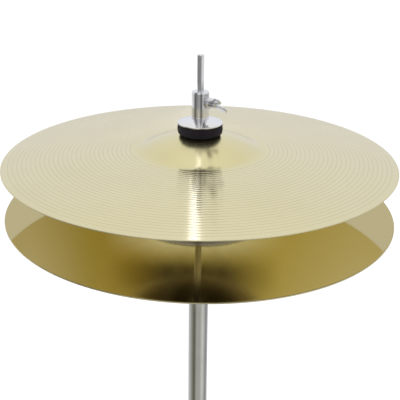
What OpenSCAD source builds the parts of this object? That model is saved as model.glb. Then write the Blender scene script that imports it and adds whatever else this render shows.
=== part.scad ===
// Hi hat: two cymbals on a pedal stand, with tripod legs, pull rod, clutch and tilter.
// Millimetres, +Z up. The origin is on the floor, on the axis of the pull rod.
// -Y is the player's side, where the heel plate is.

/* [Cymbals] */
// Diameter of both cymbals
cymbal_d = 355.6; // [330:1:381]
// Thickness of the sheet that the cymbals are pressed from
cymbal_t = 1; // [0.8:0.1:1.6]
// Height of the bow, from the rim to the foot of the bell
bow_rise = 9.8; // [7:0.1:12]
// Height of the bottom cymbal's rim above the floor
rim_low_z = 800; // [780:1:820]
// Distance between the outer edges of the two rims, with the pedal up
rim_gap = 49.6; // [49.6:0.1:60]
// Tilt of the bottom cymbal, set by the tilter screw
seat_tilt = 0.86; // [0:0.01:0.86]

/* [Clutch] */
// Radius of the clutch felts' outer edge
felt_r = 20; // [18:0.5:22]
// Radius of the clutch sleeve
sleeve_r = 7.8; // [7:0.1:9]
// Compass angle of the clutch wing screw
wing_azimuth = -38; // [-60:1:-20]
// Roll of the clutch wing screw about its own axis
wing_roll = 45; // [0:5:180]

/* [Tubes and rods] */
// Radius of the upper tube
upper_tube_r = 9.525; // [9:0.005:9.6]
// Radius of the lower tube
lower_tube_r = 12.7; // [12.5:0.1:12.7]
// Radius of the upper pull rod
rod_r = 3; // [2.8:0.1:3]
// Height of the pull rod's top end above the top cymbal's rim
rod_above_rim = 95.6; // [85:0.1:110]

/* [Tripod] */
// Angle between a leg and the upright, with the legs open
leg_angle = 40; // [38:1:42]
// Length of a brace, and of the stretch of leg above its pivot
brace_l = 90; // [86:1:94]
// Distance of the leg and brace pivots from the axis
pivot_r = 30; // [30:0.5:31]

/* [Pedal] */
// Height of the heel hinge
heel_z = 20; // [20:0.5:22]
// Distance of the heel hinge in front of the toe pin
board_l = 285; // [275:1:290]
// Height of the toe pin, with the pedal up
toe_z = 77; // [75:1:78]

/* [Hidden] */
$fn = 64;

eps = 0.01;
gap = 0.3;                                     // air between pieces that move past each other
sole_t = 3;                                    // rubber under the frame and the heel
rim_top_z = rim_low_z + rim_gap;
bell_foot_r = 59.5;
bell_dome_r = 50;                              // where the dome turns into the flare
dome_curve_r = 111.8;
bell_top_z = 24.2;
cymbal_hole_r = 6.5;
rim_r = cymbal_d / 2;

// Pedal geometry: the toe pin travels on an arc about the heel hinge
toe_y = -2.68;
heel_y = toe_y - board_l;
board_angle = atan2(toe_z - heel_z, board_l);
chain_l = 50;
chain_top_z = 127;
chain_swing = asin(-toe_y / chain_l);
toe_pin_r = 2;

// Tripod geometry: each leg and its brace make two equal sides of a triangle on the lower tube
brace_z = 198;
collar_z = brace_z + 2 * brace_l * cos(leg_angle);
foot_z = 8;
leg_l = (collar_z - foot_z) / cos(leg_angle);
leg_azimuths = [90, 210, 330];                 // rear, left, right

tube_top_z = 752;
clamp_z = 480;                                 // lower end of the height clamp
clamp_joint_z = clamp_z + 28;                  // top of the lower tube, and the height of the clamp's bolt
clamp_bolt_x = 29;
cup_z = 766;
screw_r = 22;                                  // distance of the tilter screw from the axis
seat_pivot_z = 761;
seat_pivot_r = 14;
tilt_azimuth = -50;                            // the side that the bottom cymbal leans to

module bar(r, z0, z1) translate([0, 0, z0]) cylinder(r = r, h = z1 - z0);
module pipe(ro, ri, z0, z1) difference() { bar(ro, z0, z1); bar(ri, z0 - 1, z1 + 1); }
module along_x(r, x0, x1) rotate([0, 90, 0]) bar(r, x0, x1);
module slot2d(a, b, r) {                       // a flat bar's outline with round ends, from a to b
    d = b - a;
    translate(a) circle(r);
    translate(b) circle(r);
    translate(a) rotate(atan2(d[1], d[0])) translate([0, -r]) square([norm(d), 2 * r]);
}
// Turns a plan drawn with X outwards and Y up into an upright plate at a compass angle, from t0 to t1 across it
module radial_plate(azimuth, t0, t1) {
    rotate([0, 0, azimuth]) translate([0, -t0, 0]) rotate([90, 0, 0]) linear_extrude(t1 - t0) children();
}

// ---------- cymbals ----------
function bow_z(r) = bow_rise * (1 - (r * r - bell_foot_r * bell_foot_r) / (rim_r * rim_r - bell_foot_r * bell_foot_r));
function dome_z(r) = bell_top_z - (dome_curve_r - sqrt(dome_curve_r * dome_curve_r - r * r));
function flare_z(r) = let (w = bell_foot_r - bell_dome_r, u = (r - bell_dome_r) / w,
                           a = dome_z(bell_dome_r), s = -bell_dome_r / sqrt(pow(dome_curve_r, 2) - pow(bell_dome_r, 2)),
                           b = bow_rise)
    a + s * w * u + (b - a - s * w) * u * u;
function cymbal_z(r) = r < bell_dome_r ? dome_z(r) : r < bell_foot_r ? flare_z(r) : bow_z(r);
cymbal_radii = concat([cymbal_hole_r], [for (r = [12:6:48]) r], [for (r = [50:1.9:59.5]) r], [for (r = [70:12:166]) r], [rim_r]);
module cymbal() {
    n = len(cymbal_radii) - 1;
    rotate_extrude() polygon(concat(
        [for (i = [0:n]) [cymbal_radii[i], cymbal_z(cymbal_radii[i])]],
        [for (i = [n:-1:0]) [cymbal_radii[i], cymbal_z(cymbal_radii[i]) - cymbal_t]]));
}
module top_cymbal() color("#d9cd9b") translate([0, 0, rim_top_z]) cymbal();
// Leans a piece over about the tilter's hinge
module leaning() {
    rotate([0, 0, tilt_azimuth]) translate([seat_pivot_r, 0, seat_pivot_z]) rotate([0, seat_tilt, 0])
        translate([-seat_pivot_r, 0, -seat_pivot_z]) rotate([0, 0, -tilt_azimuth]) children();
}
module bottom_cymbal() color("#b89a45") leaning() translate([0, 0, rim_low_z]) mirror([0, 0, 1]) cymbal();

// ---------- clutch ----------
sleeve_z = [rim_top_z + 38.3, rim_top_z + 63.1];
washer_z = rim_top_z + 33.6;
shaft_r = 5.8;
clutch_bore_r = rod_r + 0.1;
felt_low_z = rim_top_z + cymbal_z(12.5) - cymbal_t - gap;
wing_z = rim_top_z + 53.5;
module clutch_sleeve() color("silver") difference() {
    union() {
        bar(sleeve_r, sleeve_z[0], sleeve_z[1] - 0.8);
        translate([0, 0, sleeve_z[1] - 0.8]) cylinder(r1 = sleeve_r, r2 = sleeve_r - 0.8, h = 0.8);
        bar(shaft_r, rim_top_z + 5, sleeve_z[0] + 1);
    }
    bar(clutch_bore_r, rim_top_z, sleeve_z[1] + 1);
    rotate([0, 0, wing_azimuth]) translate([0, 0, wing_z]) along_x(2.6, 0, sleeve_r + 1);
}
module clutch_washer() color("silver") {
    dome = 48.5;
    difference() {
        rotate_extrude() polygon(concat([[shaft_r, washer_z], [felt_r + 0.2, washer_z]],
            [for (r = [felt_r + 0.2, 18, 15, 12, 9, shaft_r]) [r, washer_z + 5.2 - r * r / (2 * dome)]]));
        bar(sleeve_r + eps, sleeve_z[0], sleeve_z[1]);
    }
}
module clutch_felt_upper() color("#1c1a20") pipe(felt_r, shaft_r + 0.2, rim_top_z + bell_top_z + 0.1, washer_z);
module clutch_felt_lower() color("#1c1a20") pipe(12.5, shaft_r + 0.2, felt_low_z - 5, felt_low_z);
module clutch_nut() color("silver") difference() {
    union() {
        bar(11, felt_low_z - 12, felt_low_z - 5);
        bar(8.5, felt_low_z - 15, felt_low_z - 11);
    }
    bar(shaft_r, felt_low_z - 16, felt_low_z);
}
// A wing bolt along +X: a shank from x0 to x1, then a hub with two flat wings of that reach and height
module wing_bolt(shank_r, x0, x1, reach, height) {
    along_x(shank_r, x0, x1);
    along_x(shank_r + 1.9, x1 - eps, x1 + reach * 0.45);
    for (side = [-1, 1]) translate([0, 1.5, 0]) rotate([90, 0, 0]) linear_extrude(3) {
        slot2d([x1 + reach * 0.22, side * 1.5], [x1 + reach * 0.72, side * height * 0.62], reach * 0.17);
        translate([x1 + reach * 0.74, side * height * 0.66]) circle(reach * 0.25);
    }
}
module clutch_wing_screw() color("silver") rotate([0, 0, wing_azimuth]) translate([0, 0, wing_z])
    rotate([wing_roll, 0, 0]) wing_bolt(2.5, rod_r + 0.4, sleeve_r + 2.5, 16.5, 10);

// ---------- pull rod ----------
rod_top_z = rim_top_z + rod_above_rim;
spring_z = [176, 300];                         // the spring's lower and upper ends
module upper_rod() color("silver") {
    bar(rod_r, 560, rod_top_z - 1);
    translate([0, 0, rod_top_z - 1]) cylinder(r1 = rod_r, r2 = rod_r - 1, h = 1);
}
module lower_rod() color("gray") bar(4, 137, 560);
module rod_coupling() color("silver") difference() {
    bar(6, 545, 580);
    bar(4, 544, 560);
    bar(rod_r, 559, 581);
}
module spring_seat() color("gray") pipe(10.4, 4, spring_z[1], spring_z[1] + 6);
coil_r = 8;
wire_r = 1.1;
coils = 11;
function coil_point(k, n) = let (a = 360 * coils * k / n)
    [coil_r * cos(a), coil_r * sin(a), spring_z[0] + wire_r + 0.2 + (spring_z[1] - spring_z[0] - 2 * wire_r - 0.4) * k / n];
module return_spring() color("dimgray") {
    n = coils * 16;
    sides = 6;
    ring = [for (k = [0:n]) let (a = 360 * coils * k / n, c = coil_point(k, n))
        for (j = [0:sides - 1]) let (b = 360 * j / sides)
            c + wire_r * [cos(b) * cos(a), cos(b) * sin(a), sin(b)]];
    walls = [for (k = [0:n - 1]) for (j = [0:sides - 1]) let (i = k * sides + j, q = k * sides + (j + 1) % sides)
        [i, i + sides, q + sides, q]];
    polyhedron(ring, concat(walls, [[for (j = [0:sides - 1]) j]], [[for (j = [sides - 1:-1:0]) n * sides + j]]), convexity = 10);
}
module rod_connector() color("silver") difference() {
    union() {
        bar(8, 127, 137);
        translate([-9, -5, 121]) cube([18, 10, 8]);
    }
    translate([-6.4, -10, 110]) cube([12.8, 20, 22.5]);
    translate([0, 0, chain_top_z]) along_x(2.2, -10, 10);
}
module connector_pin() color("dimgray") translate([0, 0, chain_top_z]) {
    along_x(2.2, -9, 9);
    along_x(3.4, -10.6, -9);
    along_x(3.4, 9, 10.6);
}

// ---------- drive chain ----------
pitch = chain_l / 4;
module in_chain() translate([0, 0, chain_top_z]) rotate([-chain_swing, 0, 0]) translate([0, 0, -chain_top_z]) children();
function link_z(k) = chain_top_z - k * pitch;
module link_plate(k, x0, t) translate([x0, 0, 0]) rotate([90, 0, 90]) linear_extrude(t) difference() {
    slot2d([0, link_z(k)], [0, link_z(k + 1)], 4.6);
    for (e = [0, 1]) translate([0, link_z(k + e)]) circle(k + e == 4 ? toe_pin_r + 1 : 2.3);
}
module chain_plates() color("silver") in_chain() for (k = [0:3]) {
    x = k % 2 == 0 ? 3.1 : 4.5;
    link_plate(k, x, 1.3);
    link_plate(k, -x - 1.3, 1.3);
}
module chain_rollers() color("gray") in_chain() for (k = [0:3]) translate([0, 0, link_z(k)]) difference() {
    along_x(3.9, -3, 3);
    along_x(2.3, -4, 4);
}
module chain_rivets() color("dimgray") in_chain() for (k = [1:3]) translate([0, 0, link_z(k)]) along_x(2.2, -6.2, 6.2);

// ---------- pedal ----------
// Draws in the footboard's own plane: Y runs from the heel hinge to the toe, and Z is off the board
module on_board() translate([0, heel_y, heel_z]) rotate([board_angle, 0, 0]) children();
toe_at = sqrt(pow(board_l, 2) + pow(toe_z - heel_z, 2));
module board_outline() difference() {
    polygon([[-38, 12], [-42, 60], [-42, 200], [-28, toe_at - 30], [-26, toe_at - 14],
             [26, toe_at - 14], [28, toe_at - 30], [42, 200], [42, 60], [38, 12]]);
    translate([0, 238]) square([14, 26], center = true);
}
module footboard() color("#b9bcc0") on_board() difference() {
    union() {
        translate([0, 0, 3]) linear_extrude(4) board_outline();
        for (side = [-1, 1]) translate([side * 24 - 2, 8, -3]) cube([4, toe_at - 34, 6.5]);
        along_x(7.5, -23.5, 23.5);
        translate([-23.5, 0, 0]) cube([47, 16, 7]);
    }
    along_x(3.1, -30, 30);
}
module toe_bracket() color("silver") on_board() difference() {
    union() {
        translate([-16, toe_at - 34, 0]) cube([32, 25, 3]);
        for (side = [-1, 1]) translate([side * 8 - 1.5, toe_at, 0]) rotate([90, 0, 90]) linear_extrude(3)
            slot2d([-8.9, 0], [0, 0], 4.8);
    }
    translate([0, toe_at, 0]) along_x(toe_pin_r, -12, 12);
}
module toe_pin() color("dimgray") on_board() translate([0, toe_at, 0]) {
    along_x(toe_pin_r, -9.6, 9.6);
    along_x(3.2, -11.2, -9.6);
    along_x(3.2, 9.6, 11.2);
}
module toe_bolts() color("dimgray") on_board() for (side = [-1, 1]) translate([side * 11, toe_at - 24, 0]) {
    bar(4, 7, 9.5);
    bar(4, -3, 0);
}
module heel_plate() color("#b9bcc0") difference() {
    union() {
        translate([0, heel_y - 40, sole_t]) linear_extrude(6) {
            translate([-38, -8]) square([76, 36]);
            translate([-30, -16]) square([60, 44]);
            for (side = [-1, 1]) translate([side * 30, -8]) circle(8);
        }
        for (side = [-1, 1]) translate([side * 32 - 8, heel_y, 0]) {
            translate([0, -14, sole_t]) cube([16, 22, heel_z - sole_t]);
            translate([0, 0, heel_z]) along_x(7.5, 0, 16);
        }
    }
    translate([0, heel_y, heel_z]) along_x(3, -50, 50);
    for (side = [-1, 1]) translate([side * 32, heel_y - 4, 8]) rotate([-90, 0, 0]) cylinder(r = 3.5, h = 30);
}
module heel_pad() color("#222222") translate([0, heel_y - 40, 0]) linear_extrude(sole_t) {
    translate([-36, -6]) square([72, 32]);
    translate([-28, -14]) square([56, 40]);
}
module heel_hinge_pin() color("dimgray") translate([0, heel_y, heel_z]) {
    along_x(3, -41.5, 41.5);
    along_x(4.6, -43.5, -41.5);
    along_x(4.6, 41.5, 43.5);
}
module stabiliser_rods() color("silver") for (side = [-1, 1])
    translate([side * 32, heel_y - 4, 8]) rotate([-90, 0, 0]) cylinder(r = 3.5, h = -heel_y);

// ---------- base frame ----------
arch_z = 120;
arch_ro = 50;
arch_ri = 38;
boss_z = [153, 188];
spur_x = 60;
module base_frame() color("#b9bcc0") difference() {
    union() {
        translate([0, 10, 0]) rotate([90, 0, 0]) linear_extrude(20) difference() {
            union() {
                translate([-arch_ro, sole_t]) square([2 * arch_ro, arch_z - sole_t]);
                translate([0, arch_z]) circle(arch_ro);
            }
            translate([-arch_ri, 13]) square([2 * arch_ri, arch_z - 13]);
            translate([0, arch_z]) circle(arch_ri);
        }
        translate([0, 0, sole_t]) linear_extrude(10) slot2d([-spur_x, 0], [spur_x, 0], 12);
        bar(20, boss_z[0], boss_z[1]);
    }
    bar(10.1, 140, 200);
    bar(lower_tube_r + 0.05, 172, 200);
    for (side = [-1, 1]) {
        translate([side * spur_x, 0, 0]) bar(4, 0, 20);
        translate([side * 32, -13, 8]) rotate([-90, 0, 0]) cylinder(r = 3.5, h = 9);
    }
}
module base_pad() color("#222222") linear_extrude(sole_t) slot2d([-40, 0], [40, 0], 11);
module spur(x) color("dimgray") translate([x, 0, 0]) {
    translate([0, 0, 1]) cylinder(r1 = 0.6, r2 = 3.9, h = 6);
    bar(3.9, 7, 24);
    bar(8, 24, 32);
}
module spur_left() spur(-spur_x);
module spur_right() spur(spur_x);
module tension_dial() color("silver") difference() {
    union() {
        bar(17, 141, 151);
        bar(10, 150, spring_z[0]);
    }
    bar(4.5, 130, 200);
}
module lower_tube() color("silver") pipe(lower_tube_r, 11.2, 172, clamp_joint_z);
module ear(azimuth, z, width) radial_plate(azimuth, -width / 2, width / 2) difference() {
    slot2d([16, z], [pivot_r, z], 7);
    translate([pivot_r, z]) circle(3.1);
}
module brace_ring() color("#b9bcc0") difference() {
    union() {
        bar(19.5, brace_z - 9, brace_z + 9);
        for (a = leg_azimuths) radial_plate(a, -5, 5) slot2d([16, brace_z], [pivot_r, brace_z], 6.5);
    }
    bar(lower_tube_r + 0.05, brace_z - 20, brace_z + 20);
    for (a = leg_azimuths) radial_plate(a, -6, 6) translate([pivot_r, brace_z]) circle(3);
}
module brace_ring_rivets() color("dimgray") for (a = leg_azimuths) {
    radial_plate(a, -7.6, 7.6) translate([pivot_r, brace_z]) circle(3);
    radial_plate(a, -9.2, -7.6) translate([pivot_r, brace_z]) circle(4.6);
    radial_plate(a, 7.6, 9.2) translate([pivot_r, brace_z]) circle(4.6);
}

// ---------- tripod ----------
module leg_collar() color("#b9bcc0") difference() {
    union() {
        bar(19.5, collar_z - 14, collar_z + 14);
        for (a = leg_azimuths) ear(a, collar_z, 15.4);
        translate([0, 0, collar_z]) rotate([0, 0, -90]) along_x(8, 10, 27);
    }
    bar(lower_tube_r + 1.6, collar_z - 20, collar_z + 20);
    translate([0, 0, collar_z]) rotate([0, 0, -90]) along_x(3.1, 5, 30);
}
module leg_collar_bush() color("#2a2a2a") difference() {
    pipe(lower_tube_r + 1.6, lower_tube_r + 0.2, collar_z - 13, collar_z + 13);
    translate([0, 0, collar_z]) rotate([0, 0, -90]) along_x(3.1, 5, 20);
}
module leg_wing_bolt() color("silver") translate([0, 0, collar_z]) rotate([0, 0, -90]) rotate([25, 0, 0])
    wing_bolt(3, lower_tube_r + 0.4, 31, 26, 13);
leg_dir = [sin(leg_angle), -cos(leg_angle)];
leg_top = [pivot_r, collar_z];
leg_mid = leg_top + brace_l * leg_dir;
leg_end = leg_top + (leg_l - 16) * leg_dir;
module leg(azimuth) color("silver") {
    for (t = [-10.2, 8]) radial_plate(azimuth, t, t + 2.2) difference() {
        slot2d(leg_top, leg_end, 7);
        translate(leg_top) circle(3.1);
        translate(leg_mid) circle(3.1);
    }
    for (s = [0.42, 0.92]) radial_plate(azimuth, -8, 8)
        translate(leg_top + leg_l * s * leg_dir) circle(3.4);
}
// One long rivet at the collar, and a short one in each wall where the brace meets the leg
module leg_rivets(azimuth) color("dimgray") {
    radial_plate(azimuth, -10.2, 10.2) translate(leg_top) circle(3);
    for (t = [-10.2, 8]) radial_plate(azimuth, t, t + 2.2) translate(leg_mid) circle(3);
    for (p = [leg_top, leg_mid], t = [-12, 10.2]) radial_plate(azimuth, t, t + 1.8) translate(p) circle(4.6);
}
// The rubber foot: a block that the leg's end is pushed into, cut off level with the floor
module foot(azimuth) color("#222222") difference() {
    radial_plate(azimuth, -15, 15) difference() {
        slot2d(leg_top + (leg_l - 34) * leg_dir, leg_top + (leg_l + 4) * leg_dir, 13);
        translate([0, -60]) square([600, 60]);
    }
    for (t = [-10.2, 8]) radial_plate(azimuth, t, t + 2.2) slot2d(leg_top, leg_end, 7);
    radial_plate(azimuth, -8, 8) slot2d(leg_top, leg_top + (leg_l - 24) * leg_dir, 7);
}
// Two flat bars joined by a spacer at the top, where they lie between the leg's walls
module brace(azimuth) color("silver") {
    for (t = [-7.5, 5.3]) radial_plate(azimuth, t, t + 2.2) difference() {
        slot2d([pivot_r, brace_z], leg_mid, 6);
        translate([pivot_r, brace_z]) circle(3.1);
    }
    radial_plate(azimuth, -6, 6) translate(leg_mid) circle(4.5);
}
module leg_rear() leg(90);
module leg_left() leg(210);
module leg_right() leg(330);
module leg_rivets_rear() leg_rivets(90);
module leg_rivets_left() leg_rivets(210);
module leg_rivets_right() leg_rivets(330);
module foot_rear() foot(90);
module foot_left() foot(210);
module foot_right() foot(330);
module brace_rear() brace(90);
module brace_left() brace(210);
module brace_right() brace(330);

// ---------- height clamp ----------
module height_clamp() color("#b9bcc0") difference() {
    union() {
        bar(18.5, clamp_z, clamp_z + 46);
        translate([8, -10, clamp_z + 12]) cube([32, 20, 32]);
    }
    bar(lower_tube_r + 0.05, clamp_z - 1, clamp_joint_z);
    bar(12.2, clamp_z, clamp_z + 50);
    translate([10, -1.5, clamp_z - 1]) cube([40, 3, 60]);
    translate([clamp_bolt_x, 0, clamp_joint_z]) rotate([0, 0, 90]) along_x(3.6, -20, 20);
}
module height_bush() color("#2a2a2a") difference() {
    pipe(12.2, upper_tube_r + 0.15, clamp_joint_z + 0.1, clamp_z + 46);
    translate([8, -1, clamp_z]) cube([8, 2, 60]);
}
module height_clamp_nut() color("silver") translate([clamp_bolt_x, 10, clamp_joint_z]) rotate([-90, 0, 0])
    difference() { cylinder(r = 6.6, h = 5, $fn = 6); translate([0, 0, -1]) cylinder(r = 3.1, h = 8); }
module height_wing_bolt() color("silver") translate([clamp_bolt_x, 0, clamp_joint_z]) rotate([0, 0, -90]) rotate([30, 0, 0]) {
    wing_bolt(3, -17, 13, 26, 13);
    along_x(6.5, 10.3, 12.5);
}

// ---------- upper tube and tilter ----------
module upper_tube() color("silver") pipe(upper_tube_r, 8, 430, tube_top_z);
module toward(azimuth) rotate([0, 0, azimuth]) children();
module tilter_base() color("#2b2b2d") difference() {
    union() {
        bar(13, tube_top_z - 18, tube_top_z + 3);
        toward(tilt_azimuth) translate([6, -8, tube_top_z - 8]) cube([14, 16, 7]);
        toward(tilt_azimuth) for (t = [-8, 4.6]) translate([seat_pivot_r, t, 0]) rotate([-90, 0, 0])
            linear_extrude(3.4) translate([0, -seat_pivot_z]) { circle(4.2); translate([-4.2, 0]) square([8.4, 13]); }
        toward(tilt_azimuth + 180) translate([0, -7, tube_top_z - 12]) cube([screw_r, 14, 10]);
        toward(tilt_azimuth + 180) translate([screw_r, 0, 0]) bar(7, tube_top_z - 12, tube_top_z - 2);
    }
    bar(upper_tube_r + 0.03, tube_top_z - 30, tube_top_z);
    bar(4, tube_top_z - 5, tube_top_z + 10);
    toward(tilt_azimuth + 180) translate([screw_r, 0, 0]) bar(3.1, tube_top_z - 20, tube_top_z + 5);
    toward(tilt_azimuth) translate([seat_pivot_r, 0, seat_pivot_z]) rotate([90, 0, 0])
        translate([0, 0, -15]) cylinder(r = 2, h = 30);
}
module tilter_pin() color("silver") toward(tilt_azimuth) translate([seat_pivot_r, 0, seat_pivot_z]) rotate([0, 0, 90]) {
    along_x(2, -9, 9);
    along_x(3, -10.2, -9);
    along_x(3, 9, 10.2);
}
screw_top_z = cup_z + 2.2 + (seat_pivot_r + screw_r) * sin(seat_tilt) - 0.15;
module tilter_screw() color("silver") toward(tilt_azimuth + 180) translate([screw_r, 0, 0]) {
    bar(3, tube_top_z - 24, screw_top_z);
    bar(9, tube_top_z - 32, tube_top_z - 24);
}
module seat_cup() color("#2b2b2d") leaning() difference() {
    union() {
        rotate_extrude() polygon([[0, cup_z], [15, cup_z], [20.5, cup_z + 4], [20.5, cup_z + 6.5], [19, cup_z + 6.5], [18.2, cup_z + 4], [0, cup_z + 4]]);
        bar(5.9, cup_z, cup_z + 16);
        toward(tilt_azimuth) translate([seat_pivot_r, 0, 0]) {
            translate([-4, -4.2, seat_pivot_z]) cube([8, 8.4, 6]);
            translate([0, 4.2, seat_pivot_z]) rotate([90, 0, 0]) cylinder(r = 4, h = 8.4);
        }
        toward(tilt_azimuth + 180) translate([screw_r, 0, 0]) bar(6, cup_z, cup_z + 4);
        toward(tilt_azimuth + 180) translate([12, -6, cup_z]) cube([10, 12, 4]);
    }
    bar(4, cup_z - 5, cup_z + 20);
    toward(tilt_azimuth) translate([seat_pivot_r, 0, seat_pivot_z]) rotate([90, 0, 0])
        translate([0, 0, -15]) cylinder(r = 2.1, h = 30);
    toward(tilt_azimuth + 180) translate([screw_r, 0, 0]) bar(3.6, cup_z - 3, cup_z + 2.2);
}
module seat_felt() color("#1c1a20") leaning() pipe(18, 6.1, cup_z + 4, rim_low_z - bell_top_z - gap);

base_frame();
base_pad();
spur_left();
spur_right();
lower_tube();
brace_ring();
brace_ring_rivets();
tension_dial();
height_clamp();
height_bush();
height_clamp_nut();
height_wing_bolt();
heel_plate();
heel_pad();
heel_hinge_pin();
stabiliser_rods();
footboard();
toe_bracket();
toe_pin();
toe_bolts();
chain_plates();
chain_rollers();
chain_rivets();
lower_rod();
upper_rod();
rod_coupling();
spring_seat();
return_spring();
rod_connector();
connector_pin();
leg_collar();
leg_collar_bush();
leg_wing_bolt();
leg_rear();
leg_left();
leg_right();
leg_rivets_rear();
leg_rivets_left();
leg_rivets_right();
foot_rear();
foot_left();
foot_right();
brace_rear();
brace_left();
brace_right();
upper_tube();
tilter_base();
tilter_pin();
tilter_screw();
seat_cup();
seat_felt();
bottom_cymbal();
clutch_sleeve();
clutch_washer();
clutch_felt_upper();
clutch_felt_lower();
clutch_nut();
clutch_wing_screw();
top_cymbal();
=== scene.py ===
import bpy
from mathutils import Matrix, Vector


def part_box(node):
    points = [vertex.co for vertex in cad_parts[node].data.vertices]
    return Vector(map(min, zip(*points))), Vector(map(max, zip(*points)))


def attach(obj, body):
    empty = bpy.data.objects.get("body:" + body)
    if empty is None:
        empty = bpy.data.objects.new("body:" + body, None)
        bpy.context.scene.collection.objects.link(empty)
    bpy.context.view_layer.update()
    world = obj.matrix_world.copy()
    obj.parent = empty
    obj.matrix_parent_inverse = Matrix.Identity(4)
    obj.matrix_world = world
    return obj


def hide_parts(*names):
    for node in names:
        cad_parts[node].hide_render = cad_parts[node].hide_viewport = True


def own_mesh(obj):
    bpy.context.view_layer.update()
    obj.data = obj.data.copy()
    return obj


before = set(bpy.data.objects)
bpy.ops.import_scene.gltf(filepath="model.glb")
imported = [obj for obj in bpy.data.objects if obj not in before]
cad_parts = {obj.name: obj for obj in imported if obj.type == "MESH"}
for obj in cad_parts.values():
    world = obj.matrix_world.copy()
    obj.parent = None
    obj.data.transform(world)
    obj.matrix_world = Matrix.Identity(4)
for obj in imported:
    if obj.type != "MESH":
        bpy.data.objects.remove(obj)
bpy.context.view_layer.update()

import bmesh
import bpy
import math
from mathutils import Matrix, Vector, noise

MM = 0.001


# ---------------------------------------------------------------------------------------------
# The camera looks down a little on the pair of cymbals, from the player's side. It is aimed from
# the rim of the top cymbal, whose lowest corner the frame gives.
rim_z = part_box("top_cymbal")[0].z + 0.5 * MM
view_height, view_back = math.radians(19.37), 0.7622
view_pitch, view_roll = math.radians(22.19), math.radians(0.60)

lens = bpy.data.cameras.new("camera")
lens.lens = 75.15
lens.sensor_width = 36.0
lens.clip_start, lens.clip_end = 0.01, 100.0
camera = bpy.data.objects.new("camera", lens)
bpy.context.scene.collection.objects.link(camera)
forward = Vector((0, math.cos(view_pitch), -math.sin(view_pitch)))
level = Vector((1, 0, 0))
upright = level.cross(forward)
across = math.cos(view_roll) * level + math.sin(view_roll) * upright
aloft = -math.sin(view_roll) * level + math.cos(view_roll) * upright
camera.matrix_world = Matrix((
    (across.x, aloft.x, -forward.x, 0.55 * MM),
    (across.y, aloft.y, -forward.y, -view_back * math.cos(view_height)),
    (across.z, aloft.z, -forward.z, rim_z + view_back * math.sin(view_height)),
    (0, 0, 0, 1)))
bpy.context.scene.camera = camera
bpy.context.scene.view_settings.view_transform = "Standard"


# ---------------------------------------------------------------------------------------------
# The studio: a pale floor, a white sky and a large soft light overhead. Reflections alone also show
# a ring of grey and white card, a strip light, a tinted sky and darker patches of floor.
def nodes_of(owner):
    """The node tree of a new material or world, emptied."""
    owner.use_nodes = True
    tree = owner.node_tree
    tree.nodes.clear()
    return tree


def put(tree, kind, at=None, **settings):
    """Adds a node. Names of inputs take values or output sockets, other names are the node's own settings."""
    node = tree.nodes.new(kind)
    for name, value in settings.items():
        if hasattr(node, name) and name not in ("inputs", "outputs"):
            setattr(node, name, value)
    for name, value in (at or {}).items():
        socket = node.inputs[name]
        if isinstance(value, bpy.types.NodeSocket):
            tree.links.new(value, socket)
        else:
            socket.default_value = value
    return node


def ramp(tree, factor, stops, smooth=False):
    """A colour ramp over factor. stops are (position, grey or colour)."""
    node = put(tree, "ShaderNodeValToRGB", {"Fac": factor})
    band = node.color_ramp
    band.interpolation = "EASE" if smooth else "LINEAR"
    while len(band.elements) < len(stops):
        band.elements.new(1.0)
    for element, (position, colour) in zip(band.elements, stops):
        element.position = position
        shade = (colour,) * 3 if isinstance(colour, (int, float)) else colour
        element.color = (*shade, 1)
    return node.outputs["Color"]


def math_node(tree, operation, *values, clamp=False):
    node = put(tree, "ShaderNodeMath", dict(enumerate(values)), operation=operation, use_clamp=clamp)
    return node.outputs[0]


def blend_colour(tree, factor, first, second):
    """Mixes two colours by a mask."""
    node = put(tree, "ShaderNodeMix", data_type="RGBA")
    for name, value in (("Factor", factor), ("A", first), ("B", second)):
        socket = [s for s in node.inputs if s.name == name and s.enabled][0]
        if isinstance(value, bpy.types.NodeSocket):
            tree.links.new(value, socket)
        else:
            socket.default_value = value if name == "Factor" else (*value, 1)
    return [s for s in node.outputs if s.enabled][0]


def turn_about(tree, direction):
    """The compass turn of a vector: 0 behind the stand, 0.25 on the left, 0.5 in front, 0.75 on the right."""
    parts = put(tree, "ShaderNodeSeparateXYZ", {0: direction})
    turn = math_node(tree, "ARCTAN2", parts.outputs["X"],
                     math_node(tree, "MULTIPLY", parts.outputs["Y"], -1.0))
    return math_node(tree, "ADD", math_node(tree, "DIVIDE", turn, math.tau), 0.5), parts.outputs["Z"]


def spread(tree, value, low, high, start=0.0, end=1.0):
    """Moves a value that runs from start to end into the range low to high."""
    return put(tree, "ShaderNodeMapRange", {
        "Value": value, "From Min": start, "From Max": end, "To Min": low, "To Max": high}).outputs[0]


world = bpy.data.worlds.new("studio")
bpy.context.scene.world = world
sky = nodes_of(world)
turn, rise = turn_about(sky, put(sky, "ShaderNodeTexCoord").outputs["Generated"])
dome = ramp(sky, spread(sky, rise, 0.0, 1.0, -0.2, 1.0), [
    (0.2, (0.84, 0.85, 0.92)), (0.5, (0.9, 0.91, 0.95)), (0.9, (0.96, 0.96, 0.9)), (1.0, 1.0)])
screens = ramp(sky, turn, [
    (0.0, 1.0), (0.2, 0.9), (0.3, 0.1), (0.4, 0.7), (0.46, 0.9), (0.53, 0.1), (0.6, 0.8), (1.0, 1.0)])
screened = blend_colour(sky, spread(sky, rise, 0.0, 1.0, 0.75, 0.95), screens, (1, 1, 1))
shaded = put(sky, "ShaderNodeVectorMath", {0: dome, 1: screened}, operation="MULTIPLY").outputs[0]
plain = blend_colour(sky, put(sky, "ShaderNodeLightPath").outputs["Is Glossy Ray"], (1, 1, 1), shaded)
backing = put(sky, "ShaderNodeBackground", {"Color": plain, "Strength": 1.0})
put(sky, "ShaderNodeOutputWorld", {"Surface": backing.outputs[0]})


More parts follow.
